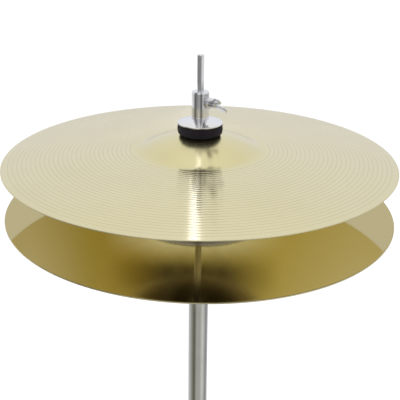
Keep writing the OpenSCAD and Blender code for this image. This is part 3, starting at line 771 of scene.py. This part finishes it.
# ---------------------------------------------------------------------------------------------
# The drive chain is a short run of roller chain from the toe to the pull rod. Its waisted side
# plates are punched steel, and the rollers turn on the rivets.
chain_top, chain_pitch, plate_r, plate_t, chain_swing = 127.0, 12.5, 4.6, 1.3, math.asin(2.68 / 50)
waisted = soft_outline([(0, 0, plate_r), (0, -chain_pitch, plate_r)], [(0, 0, 0, -chain_pitch, 2.2)],
                       (0, -chain_pitch / 2), 0.5)
upright_x = Matrix(((0, 0, 1, 0), (1, 0, 0, 0), (0, 1, 0, 0), (0, 0, 0, 1)))
hang = Matrix.Translation((0, 0, chain_top * MM)) @ Matrix.Rotation(-chain_swing, 4, "X")
plates = []
for link in range(4):
    inset = 3.1 if link % 2 == 0 else 4.5
    for low in (inset, -inset - plate_t):
        plate = plate_mesh("plate", waisted, low, low + plate_t, 0.3, steel_skin, 2)
        plate.data.transform(upright_x)
        plate.data.transform(hang @ Matrix.Translation((0, 0, -link * chain_pitch * MM)))
        plates.append(plate)
mount_piece(joined("chain_plates_finished", plates), "chain", "spring_steel", "chain_plates")
carry_over(["chain_rollers"], "chain", "zinc_steel", zinc_skin, 0.3)
carry_over(["chain_rivets"], "chain", "zinc_steel", zinc_skin, 0.5)


# ---------------------------------------------------------------------------------------------
# The pull rod runs up through the tubes and out of the clutch. Its lower half is 8 mm steel in
# a clevis at the chain, the upper half is 6 mm polished rod, and a sleeve joins the two.
mount_piece(turned("lower_rod_finished", [(0, 137)] + fillet(3.4, 137.6, 0.6, -90, 0)
                   + fillet(3.4, 559.4, 0.6, 0, 90)
                   + [(0, 560)], zinc_skin, 48), "pull_rod", "zinc_steel", "lower_rod")
rod_r, rod_top = sizes_of("upper_rod")[0], sizes_of("upper_rod")[2]
mount_piece(turned("upper_rod_finished", (
    [(0, 560)] + fillet(rod_r - 0.3, 560.3, 0.3, -90, 0) + [(rod_r, z) for z in range(600, 940, 20)]
    + [(rod_r, rod_top - 1.1)] + fillet(rod_r - 1.0, rod_top - 1.0, 1.0, 0, 90) + [(0, rod_top)]),
    chrome_skin, 64),
    "pull_rod", "rod_chrome", "upper_rod")
mount_piece(turned("rod_coupling_finished", sleeve_outline(6, rod_r, 545, 580, 0.7), steel_skin, 48),
            "pull_rod", "rod_chrome", "rod_coupling")
carry_over(["rod_connector"], "pull_rod", "cast_frame", cast_skin, 0.6)
carry_over(["connector_pin"], "pull_rod", "zinc_steel", zinc_skin, 0.6)


# ---------------------------------------------------------------------------------------------
# The return spring is coiled from oiled steel wire between the tension dial and a steel washer on
# the rod, and pushes the pull rod back up.
def oiled_steel(tree):
    skin = use(tree, grain, Scale=800.0, Depth=0.1)
    return {"Base Color": ramp(tree, skin.outputs["Shade"],
                               [(0.3, (0.10, 0.10, 0.11)), (0.7, (0.20, 0.19, 0.18))]),
            "Metallic": 1.0, "Roughness": spread(tree, skin.outputs["Shade"], 0.25, 0.42, 0.3, 0.7)}


spring_skin = finish_material("oiled_steel", oiled_steel)
coil, given = sculptor("coil", {"Turns": 11.0, "Coil Radius": 0.008, "Wire Radius": 0.001, "Rise": 0.1,
                                "Height": 0.0})
helix = put(coil, "GeometryNodeCurveSpiral", {
    "Resolution": 36, "Rotations": given["Turns"], "Start Radius": given["Coil Radius"],
    "End Radius": given["Coil Radius"], "Height": given["Rise"]})
wire = put(coil, "GeometryNodeCurvePrimitiveCircle", {"Resolution": 12, "Radius": given["Wire Radius"]})
swept = put(coil, "GeometryNodeCurveToMesh", {
    "Curve": helix.outputs[0], "Profile Curve": wire.outputs[0], "Fill Caps": True})
lift = put(coil, "ShaderNodeCombineXYZ", {"Z": given["Height"]})
raised = put(coil, "GeometryNodeSetPosition", {"Geometry": swept.outputs[0], "Offset": lift.outputs[0]})
close_tree(coil, given, raised.outputs[0])
spring_low, spring_high, wire_r = 176.0, 300.0, 1.1
spring = link_piece("return_spring_finished", bpy.data.meshes.new("return_spring_finished"), spring_skin)
sculpt(spring, coil, Turns=11.0, Coil_Radius=8 * MM, Wire_Radius=wire_r * MM,
       Rise=(spring_high - spring_low - 2 * wire_r - 0.4) * MM, Height=(spring_low + wire_r + 0.2) * MM)
mount_piece(spring, "stand", "spring_steel", "return_spring")
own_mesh(spring)
mount_piece(turned("spring_seat_finished", sleeve_outline(10.4, 4, 300, 306, 0.6), zinc_skin, 48),
            "pull_rod", "zinc_steel", "spring_seat")


# ---------------------------------------------------------------------------------------------
# The leg collar slides on the lower tube over a nylon bush, and a wing bolt locks it. Its ears
# hold the three legs.
carry_over(["leg_collar"], "leg_collar", "cast_frame", cast_skin, 1.0)
carry_over(["leg_collar_bush"], "leg_collar", "nylon", nylon_skin, 0.4)
collar_z = sum(corner.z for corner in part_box("leg_collar")) / 2 / MM
collar_screw = winged("leg_wing_bolt_finished", screw_place(0, 0, collar_z, -90, 25), 3, 13.1, 31, 26, 13,
                      3.0,
                      steel_skin)
mount_piece(collar_screw, "leg_wing_bolt", "rod_chrome", "leg_wing_bolt")


# ---------------------------------------------------------------------------------------------
# Each leg is a pair of chromed steel flats with spacers, riveted to the collar's ear and to its
# brace. A moulded rubber foot with tread bars is pushed over the end.
leg_lean, pivot_out = math.radians(40), 30.0
for side, azimuth in (("rear", 90), ("left", 210), ("right", 330)):
    carry_over([f"leg_{side}"], f"leg_{side}", "chrome", chrome_skin, 0.6)
    carry_over([f"leg_rivets_{side}"], f"leg_{side}", "zinc_steel", zinc_skin, 0.6)
    carry_over([f"brace_{side}"], f"brace_{side}", "chrome", chrome_skin, 0.6)
    out = Vector((math.cos(math.radians(azimuth)), math.sin(math.radians(azimuth)), 0))
    down = math.sin(leg_lean) * out - math.cos(leg_lean) * Vector((0, 0, 1))
    across_leg = Vector((0, 0, 1)).cross(out)
    top_side = across_leg.cross(down)
    end = pivot_out * out + Vector((0, 0, collar_z)) + (collar_z - 8) / math.cos(leg_lean) * down
    foot = rounded_copy(f"foot_{side}", rubber_skin, 1.6, segments=3)
    for face in (-1, 1):
        sculpt(foot, row_of_ribs, Count=6, Start=tuple((end - 30 * down + 13 * face * top_side) * MM),
               Step=tuple(5 * MM * down), Turn=tuple(across_leg.to_track_quat("Z", "Y").to_euler()),
               Rib_Radius=0.0012, Rib_Length=0.026)
    mount_piece(foot, f"leg_{side}", "rubber", f"foot_{side}")


# ---------------------------------------------------------------------------------------------
# The upper tube is chromed, and telescopes into the lower one. It carries the cymbals.
tube_r, tube_low, tube_high = sizes_of("upper_tube")
outline = sleeve_outline(tube_r, 8, tube_low, tube_high, 0.4)
mount_piece(turned("upper_tube_finished", outline, chrome_skin), "upper_tube", "chrome", "upper_tube")


# ---------------------------------------------------------------------------------------------
# The tilter is two black powder-coated castings joined by a pin: a cap on the tube, and a cup that
# leans with a thumb screw.
def powder_coat(tree):
    skin = use(tree, grain, Scale=700.0, Depth=0.3)
    rubbed = use(tree, rub, Width=0.0007, Amount=0.6)
    tone = ramp(tree, skin.outputs["Shade"], [(0.3, 0.012), (0.7, 0.022)])
    return {"Base Color": blend_colour(tree, rubbed.outputs["Mask"], tone, (0.20, 0.20, 0.20)),
            "Roughness": spread(tree, skin.outputs["Shade"], 0.30, 0.46, 0.3, 0.7),
            "Normal": bump(tree, skin.outputs["Height"], 0.0003)}


coated_skin = finish_material("black_powder_coat", powder_coat)
carry_over(["tilter_base"], "upper_tube", "black_cast", coated_skin, 0.8)
carry_over(["seat_cup"], "seat", "black_cast", coated_skin, 0.6)
carry_over(["tilter_pin"], "upper_tube", "zinc_steel", zinc_skin, 0.5)
knob = rounded_copy("tilter_screw", steel_skin, 0.5)
knob_low, knob_x, knob_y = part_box("tilter_screw")[0].z, *[sum(c[k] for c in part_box("tilter_screw")) / 2
    for k in (0, 1)]
knob.data.transform(Matrix.Translation((-knob_x, -knob_y, 0)))
sculpt(knob, ring_of_ribs, Count=20, Ring_Radius=0.0088, Rib_Radius=0.0007, Rib_Length=0.0068,
       Height=knob_low + 4 * MM)
knob.data.transform(Matrix.Translation((knob_x, knob_y, 0)))
mount_piece(knob, "tilter_screw", "rod_chrome", "tilter_screw")


# ---------------------------------------------------------------------------------------------
# Pressed wool felt holds each cymbal off the metal. It is dyed black, its edge bulges a little,
# and loose fibres stand out of it.
felt_fibres, given = sculptor("felt_fibres", {"Density": 1.0e6, "Length": 0.001, "Thickness": 0.00004,
                                              "Seed": 7})
sown = put(felt_fibres, "GeometryNodeDistributePointsOnFaces", {
    "Mesh": given["Geometry"], "Density": given["Density"], "Seed": given["Seed"]})
hair = put(felt_fibres, "GeometryNodeMeshCone", {
    "Vertices": 3, "Radius Top": 0.0, "Radius Bottom": given["Thickness"], "Depth": given["Length"]})
lean = put(felt_fibres, "FunctionNodeRandomValue", {
    0: (-1.3, -1.3, 0.0), 1: (1.3, 1.3, 6.28), "Seed": given["Seed"]}, data_type="FLOAT_VECTOR")
leaning = put(felt_fibres, "FunctionNodeEulerToRotation", {0: lean.outputs[0]})
turned_by = put(felt_fibres, "FunctionNodeRotateRotation", {
    "Rotation": sown.outputs["Rotation"], "Rotate By": leaning.outputs[0]}, rotation_space="LOCAL")
sizing = put(felt_fibres, "FunctionNodeRandomValue", {"Seed": 11}, data_type="FLOAT")
for socket, value in zip([s for s in sizing.inputs if s.enabled and s.type == "VALUE"], (0.4, 1.2)):
    socket.default_value = value
hairs = put(felt_fibres, "GeometryNodeInstanceOnPoints", {
    "Points": sown.outputs["Points"], "Instance": hair.outputs["Mesh"], "Rotation": turned_by.outputs[0],
    "Scale": [s for s in sizing.outputs if s.enabled][0]})
close_tree(felt_fibres, given, given["Geometry"], hairs.outputs[0])


def black_felt(tree):
    where = put(tree, "ShaderNodeTexCoord").outputs["Object"]
    wool = put(tree, "ShaderNodeTexNoise", {"Vector": where, "Scale": 1500.0, "Detail": 5.0,
                                            "Roughness": 0.7})
    patchy = put(tree, "ShaderNodeTexNoise", {"Vector": where, "Scale": 130.0, "Detail": 2.0})
    shade = math_node(tree, "ADD", math_node(tree, "MULTIPLY", wool.outputs["Fac"], 0.6),
                      math_node(tree, "MULTIPLY", patchy.outputs["Fac"], 0.4))
    return {"Base Color": ramp(tree, shade, [(0.35, (0.006, 0.005, 0.008)), (0.6, (0.018, 0.014, 0.020)),
                                             (0.75, (0.045, 0.038, 0.046))]),
            "Roughness": 0.95, "Specular IOR Level": 0.15, "Sheen Weight": 0.12, "Sheen Roughness": 0.5,
            "Normal": bump(tree, wool.outputs["Fac"], 0.0006)}


felt_skin = finish_material("black_felt", black_felt)


def felt_ring(name, outer, inner, low, high, bulge, density):
    """A felt washer in mm with soft edges, a bulging rim, lumps, and loose fibres."""
    edge = 1.6
    rows = 10
    rim = [(outer - bulge + bulge * math.sin(math.pi * k / rows),
            low + edge + (high - low - 2 * edge) * k / rows)
           for k in range(rows + 1)]
    top = [(outer - bulge - edge - (outer - bulge - edge - inner) * k / 5, high) for k in range(1, 6)]
    outline = (fillet(outer - bulge - edge, low + edge, edge, -90, 0) + rim[1:-1]
               + fillet(outer - bulge - edge, high - edge, edge, 0, 90) + top
               + [(inner, (low + high) / 2)] + [(r, low) for r, z in reversed(top)])
    pad = turned(name, outline, felt_skin, 144, 80)
    for vertex in pad.data.vertices:
        out = Vector((vertex.co.x, vertex.co.y, 0)).normalized()
        vertex.co += (out * 0.28 * MM * noise.noise(vertex.co * 420)
                      + out * 0.14 * MM * noise.noise(vertex.co * 1100))
    return sculpt(pad, felt_fibres, 80, Density=density, Length=1.1 * MM, Thickness=0.045 * MM, Seed=7)


# The cup, its felt and the bottom cymbal all lean by the tilter's angle, about its pin
lean_way = Vector((math.cos(math.radians(-50)), math.sin(math.radians(-50)), 0))
pin = 14 * MM * lean_way + Vector((0, 0, 761 * MM))
tip = (Matrix.Translation(pin) @ Matrix.Rotation(math.radians(0.86), 4, Vector((-lean_way.y, lean_way.x, 0)))
       @ Matrix.Translation(-pin))
seat_pad = felt_ring("seat_felt_finished", 18, 6.1, 770, 775.4, 0.5, 3.0e6)
seat_pad.data.transform(tip)
mount_piece(seat_pad, "seat", "felt", "seat_felt")


# ---------------------------------------------------------------------------------------------
# Both cymbals are spun from bronze sheet about 1 mm thick: a domed bell, then a bow down to a thin
# rim. The bow's outer face is cut with shallow lathe grooves. The bottom one lies upside down.
bell_foot, dome_edge, dome_curve, bell_top, bow_rise, rim_r, sheet = 59.5, 50.0, 111.8, 24.2, 9.8, 177.8, 1.0
groove_start, groove_end, groove_pitch, groove_depth, groove_width = 61.4, 173.4, 4.0, 0.14, 0.55


def cymbal_rise(r):
    """Height of the outer face above the rim, in mm."""
    if r < dome_edge:
        return bell_top - dome_curve + math.sqrt(dome_curve ** 2 - r * r)
    if r < bell_foot:
        start = bell_top - dome_curve + math.sqrt(dome_curve ** 2 - dome_edge ** 2)
        fall = -dome_edge / math.sqrt(dome_curve ** 2 - dome_edge ** 2) * (bell_foot - dome_edge)
        share = (r - dome_edge) / (bell_foot - dome_edge)
        return start + fall * share + (bow_rise - start - fall) * share * share
    return bow_rise * (1 - (r * r - bell_foot ** 2) / (rim_r ** 2 - bell_foot ** 2))


def cymbal_sheet(name, material, side):
    """The plain sheet, rim at height 0. side is 1 bell up, -1 bell down. Marks the outer face with 1."""
    grooved = []
    for k in range(round((groove_end - groove_start) / groove_pitch)):
        middle = groove_start + (k + 0.5) * groove_pitch
        grooved += [middle + offset for offset in (-1.3, -groove_width, -groove_width / 2, 0,
            groove_width / 2,
                                                   groove_width, 1.3)]
    face = ([7.2, 9, 12] + [12 + 1.9 * k for k in range(1, 20)] + [50.5 + k for k in range(10)] + grooved
            + [174.2, 175.6, 176.6])
    outline = [(6.5, cymbal_rise(6.5) - sheet / 2), (6.7, cymbal_rise(6.7) - 0.15)]
    outline += [(r, cymbal_rise(r)) for r in face]
    outline += fillet(rim_r - sheet / 2, -sheet / 2 + 0.04, sheet / 2, 78, -84, 5)
    marked = len(outline) - 1
    outline += [(r, cymbal_rise(r) - sheet) for r in reversed([7.2, 10, 14]
        + [18 + 3.9 * k for k in range(41)] + [176.9])]
    outline += [(6.7, cymbal_rise(6.7) - sheet + 0.15)]
    outline = [(r, side * z) for r, z in outline]
    piece = turned(name, outline, material, 256, 60)
    outer_face = piece.data.attributes.new("outer", "FLOAT", "POINT")
    outer_face.data.foreach_set("value", [1.0 if 2 <= k // 256 < marked else 0.0
        for k in range(len(piece.data.vertices))])
    return piece


lathe_cut, given = sculptor("lathe_cut", {"Start": 0.06, "End": 0.17, "Pitch": 0.004, "Width": 0.0006,
                                          "Depth": 0.0001})
place = put(lathe_cut, "GeometryNodeInputPosition").outputs[0]
flat = put(lathe_cut, "ShaderNodeVectorMath", {0: place, 1: (1, 1, 0)}, operation="MULTIPLY")
radius = put(lathe_cut, "ShaderNodeVectorMath", {0: flat.outputs[0]}, operation="LENGTH").outputs["Value"]
travel = math_node(lathe_cut, "DIVIDE", math_node(lathe_cut, "SUBTRACT", radius, given["Start"]),
                   given["Pitch"])
off_middle = math_node(lathe_cut, "ABSOLUTE", math_node(lathe_cut, "SUBTRACT", math_node(
    lathe_cut, "FRACT", travel), 0.5))
reach = math_node(lathe_cut, "DIVIDE", math_node(lathe_cut, "MULTIPLY", off_middle, given["Pitch"]),
                  given["Width"])
notch = math_node(lathe_cut, "SUBTRACT", 1.0, reach, clamp=True)
within = math_node(lathe_cut, "MULTIPLY", math_node(lathe_cut, "GREATER_THAN", radius, given["Start"]),
                   math_node(lathe_cut, "LESS_THAN", radius, given["End"]))
outer_mark = put(lathe_cut, "GeometryNodeInputNamedAttribute", {"Name": "outer"},
                 data_type="FLOAT").outputs[0]
cut = math_node(lathe_cut, "MULTIPLY", math_node(lathe_cut, "MULTIPLY", notch, within), outer_mark)
noted = put(lathe_cut, "GeometryNodeStoreNamedAttribute", {
    "Geometry": given["Geometry"], "Name": "groove", "Value": cut}, data_type="FLOAT", domain="POINT")
inward = put(lathe_cut, "ShaderNodeVectorMath", {
    0: put(lathe_cut, "GeometryNodeInputNormal").outputs[0],
    "Scale": math_node(lathe_cut, "MULTIPLY", math_node(lathe_cut, "MULTIPLY", cut, given["Depth"]), -1.0)},
    operation="SCALE")
carved = put(lathe_cut, "GeometryNodeSetPosition",
             {"Geometry": noted.outputs[0], "Offset": inward.outputs[0]})
close_tree(lathe_cut, given, carved.outputs[0])

# Lathe rings: tool marks that depend only on the distance from the cymbal's centre
lathe_rings, inside, outside = effect("lathe_rings", {"Fineness": 900.0},
                                      ["Radius", "Shade", "Streak", "Blotch"])
where = put(lathe_rings, "ShaderNodeTexCoord").outputs["Object"]
flat = put(lathe_rings, "ShaderNodeVectorMath", {0: where, 1: (1, 1, 0)}, operation="MULTIPLY").outputs[0]
radius = put(lathe_rings, "ShaderNodeVectorMath", {0: flat}, operation="LENGTH").outputs["Value"]
rings = put(lathe_rings, "ShaderNodeTexNoise", {
    "W": math_node(lathe_rings, "MULTIPLY", radius, inside.outputs["Fineness"]), "Scale": 1.0, "Detail": 3.0},
    noise_dimensions="1D")
heading = put(lathe_rings, "ShaderNodeVectorMath", {0: flat}, operation="NORMALIZE").outputs[0]
rays = put(lathe_rings, "ShaderNodeTexNoise", {"Vector": heading, "Scale": 9.0, "Detail": 3.0})
blotch = put(lathe_rings, "ShaderNodeTexNoise", {"Vector": where, "Scale": 22.0, "Detail": 4.0})
for label, value in (("Radius", radius), ("Shade", rings.outputs["Fac"]), ("Streak", rays.outputs["Fac"]),
                     ("Blotch", blotch.outputs["Fac"])):
    lathe_rings.links.new(value, outside.inputs[label])


def bronze(tree):
    rings = use(tree, lathe_rings, Fineness=1400.0)
    worn = use(tree, marks, Scale=16.0, Amount=0.5)
    groove = put(tree, "ShaderNodeAttribute", attribute_name="groove").outputs["Fac"]
    outer_face = put(tree, "ShaderNodeAttribute", attribute_name="outer").outputs["Fac"]
    bell = put(tree, "ShaderNodeMapRange", {"Value": rings.outputs["Radius"], "From Min": 0.066,
                                            "From Max": 0.057})
    shade = math_node(tree, "ADD", math_node(tree, "MULTIPLY", rings.outputs["Shade"], 0.55),
                      math_node(tree, "MULTIPLY", rings.outputs["Blotch"], 0.45))
    bow = ramp(tree, shade, [(0.3, (0.73, 0.665, 0.42)), (0.5, (0.755, 0.69, 0.445)),
                             (0.7, (0.78, 0.715, 0.47))])
    tone = blend_colour(tree, bell.outputs[0], bow, (0.745, 0.68, 0.40))
    # The lathe grooves are painted darker: a painted shade in the recesses of the cuts.
    tone = blend_colour(tree, math_node(tree, "MULTIPLY", groove, 0.4), tone, (0.45, 0.385, 0.20))
    # under_bell marks the hollow under the bell, which is painted darker: a painted shade in the hollow.
    under_bell = math_node(tree, "MULTIPLY", bell.outputs[0], math_node(tree, "SUBTRACT", 1.0, outer_face))
    # The inner faces take a darker bronze than the outer face: a painted shade for the space between the two
    # cymbals.
    inner = blend_colour(tree, under_bell, (0.50, 0.42, 0.19), (0.34, 0.29, 0.17))
    tone = blend_colour(tree, outer_face, inner, tone)
    polish = math_node(tree, "MULTIPLY", outer_face, spread(tree, bell.outputs[0], 0.055, 0.13))
    lip = spread(tree, rings.outputs["Radius"], 0.0, 0.3, 0.1768, 0.1776)
    dull = math_node(tree, "ADD", math_node(tree, "MULTIPLY", under_bell, 0.25), lip)
    rough = math_node(tree, "ADD", math_node(tree, "ADD", polish, dull), math_node(
        tree, "ADD", spread(tree, rings.outputs["Streak"], 0.04, 0.07, 0.3, 0.7),
        math_node(tree, "MULTIPLY", worn.outputs["Smudge"], 0.02)))
    outward = put(tree, "ShaderNodeVectorMath", {
        0: put(tree, "ShaderNodeTexCoord").outputs["Object"], 1: (1, 1, 0)}, operation="MULTIPLY")
    return {"Base Color": tone, "Metallic": 1.0, "Roughness": rough, "Anisotropic": 0.85,
            "Tangent": put(tree, "ShaderNodeVectorMath", {0: outward.outputs[0]},
                           operation="NORMALIZE").outputs[0],
            "Normal": bump(tree, rings.outputs["Shade"], 0.000002)}


bronze_skin = finish_material("cymbal_bronze", bronze)


def cymbal(name, side, place):
    piece = cymbal_sheet(name, bronze_skin, side)
    sculpt(piece, lathe_cut, 60, Start=groove_start * MM, End=groove_end * MM, Pitch=groove_pitch * MM,
           Width=groove_width * MM, Depth=groove_depth * MM)
    piece.data.transform(place)
    return piece


lower = cymbal("bottom_cymbal_finished", -1, tip @ Matrix.Translation((0, 0, 800 * MM)))
mount_piece(lower, "bottom_cymbal", "cymbal_bottom", "bottom_cymbal")
rim_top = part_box("top_cymbal")[0].z / MM + sheet
upper = cymbal("top_cymbal_finished", 1, Matrix.Translation((0, 0, rim_top * MM)))
mount_piece(upper, "top_cymbal", "cymbal_top", "top_cymbal")


# ---------------------------------------------------------------------------------------------
# The clutch hangs the top cymbal on the pull rod. A threaded shaft passes through the cymbal, with
# a felt on each side, a nut below, and a domed washer and a chromed sleeve above.
shaft_r, sleeve_r, felt_r = 5.8, 7.8, 20.0
sleeve_low, sleeve_high, washer_z = rim_top + 38.3, rim_top + 63.1, rim_top + 33.6
low_face = rim_top + cymbal_rise(12.5) - sheet - 0.3
nut = turned("clutch_nut_finished", (
    fillet(8.0, low_face - 14.5, 0.5, -90, 0) + [(8.5, low_face - 12)]
    + fillet(9.6, low_face - 11.2, 0.8, -90, 0)
    + fillet(9.6, low_face - 5.8, 0.8, 0, 90) + fillet(shaft_r + 0.3, low_face - 5.3, 0.3, 90, 180)
    + fillet(shaft_r + 0.3, low_face - 14.7, 0.3, 180, 270)), steel_skin)
sculpt(nut, ring_of_ribs, Count=22, Ring_Radius=0.0103, Rib_Radius=0.0007, Rib_Length=0.0055,
       Height=(low_face - 8.5) * MM)
mount_piece(nut, "clutch", "rod_chrome", "clutch_nut")
mount_piece(felt_ring("clutch_felt_lower_finished", 12.5, 6.0, low_face - 5, low_face, 0.4, 3.0e6),
            "clutch", "felt", "clutch_felt_lower")
mount_piece(felt_ring("clutch_felt_upper_finished", felt_r, 6.0, rim_top + bell_top + 0.1, washer_z, 0.4,
                      6.0e6),
            "clutch", "felt", "clutch_felt_upper")
dome = [(r, washer_z + 5.2 - r * r / 97) for r in (19.6, 18, 16, 14, 12, 10, 9)]
mount_piece(turned("clutch_washer_finished", (
    fillet(felt_r - 0.1, washer_z + 0.3, 0.3, -90, 0) + fillet(felt_r - 0.2, washer_z + 0.75, 0.4, 0, 70)
    + dome
    + [(8.4, sleeve_low), (shaft_r, sleeve_low), (shaft_r, washer_z)]), chrome_skin, 128, 30),
    "clutch", "rod_chrome", "clutch_washer")
barrel = turned("clutch_barrel", (
    [(shaft_r, rim_top + 5.2)] + [(shaft_r, sleeve_low)]
    + fillet(sleeve_r - 0.3, sleeve_low + 0.3, 0.3, -90, 0)
    + [(sleeve_r, sleeve_low + 1.4), (sleeve_r - 0.15, sleeve_low + 1.7), (sleeve_r, sleeve_low + 2.0),
       (sleeve_r, sleeve_high - 1.5), (sleeve_r - 0.2, sleeve_high - 1.1)]
    + fillet(sleeve_r - 1.3, sleeve_high - 0.5, 0.5, 20, 90)
    + fillet(rod_r + 0.5, sleeve_high - 0.4, 0.4, 90, 180) + [(rod_r + 0.1, rim_top + 5.2)]), chrome_skin,
    128, 25)
boss = turned("clutch_boss", sleeve_outline(4.3, 2.7, sleeve_r - 1.2, sleeve_r + 0.7, 0.35), chrome_skin, 48)
wing_z, wing_way = rim_top + 53.5, -38
boss.data.transform(screw_place(0, 0, wing_z, wing_way, 0) @ Matrix.Rotation(math.radians(90), 4, "Y"))
mount_piece(joined("clutch_sleeve_finished", [barrel, boss], 25), "clutch", "rod_chrome", "clutch_sleeve")
screw = winged("clutch_wing_screw_finished", screw_place(0, 0, wing_z, wing_way, 45), 2.5, rod_r + 0.4,
               sleeve_r + 1.1,
               17.6, 10, 2.2, steel_skin)
mount_piece(screw, "clutch_wing_screw", "rod_chrome", "clutch_wing_screw")
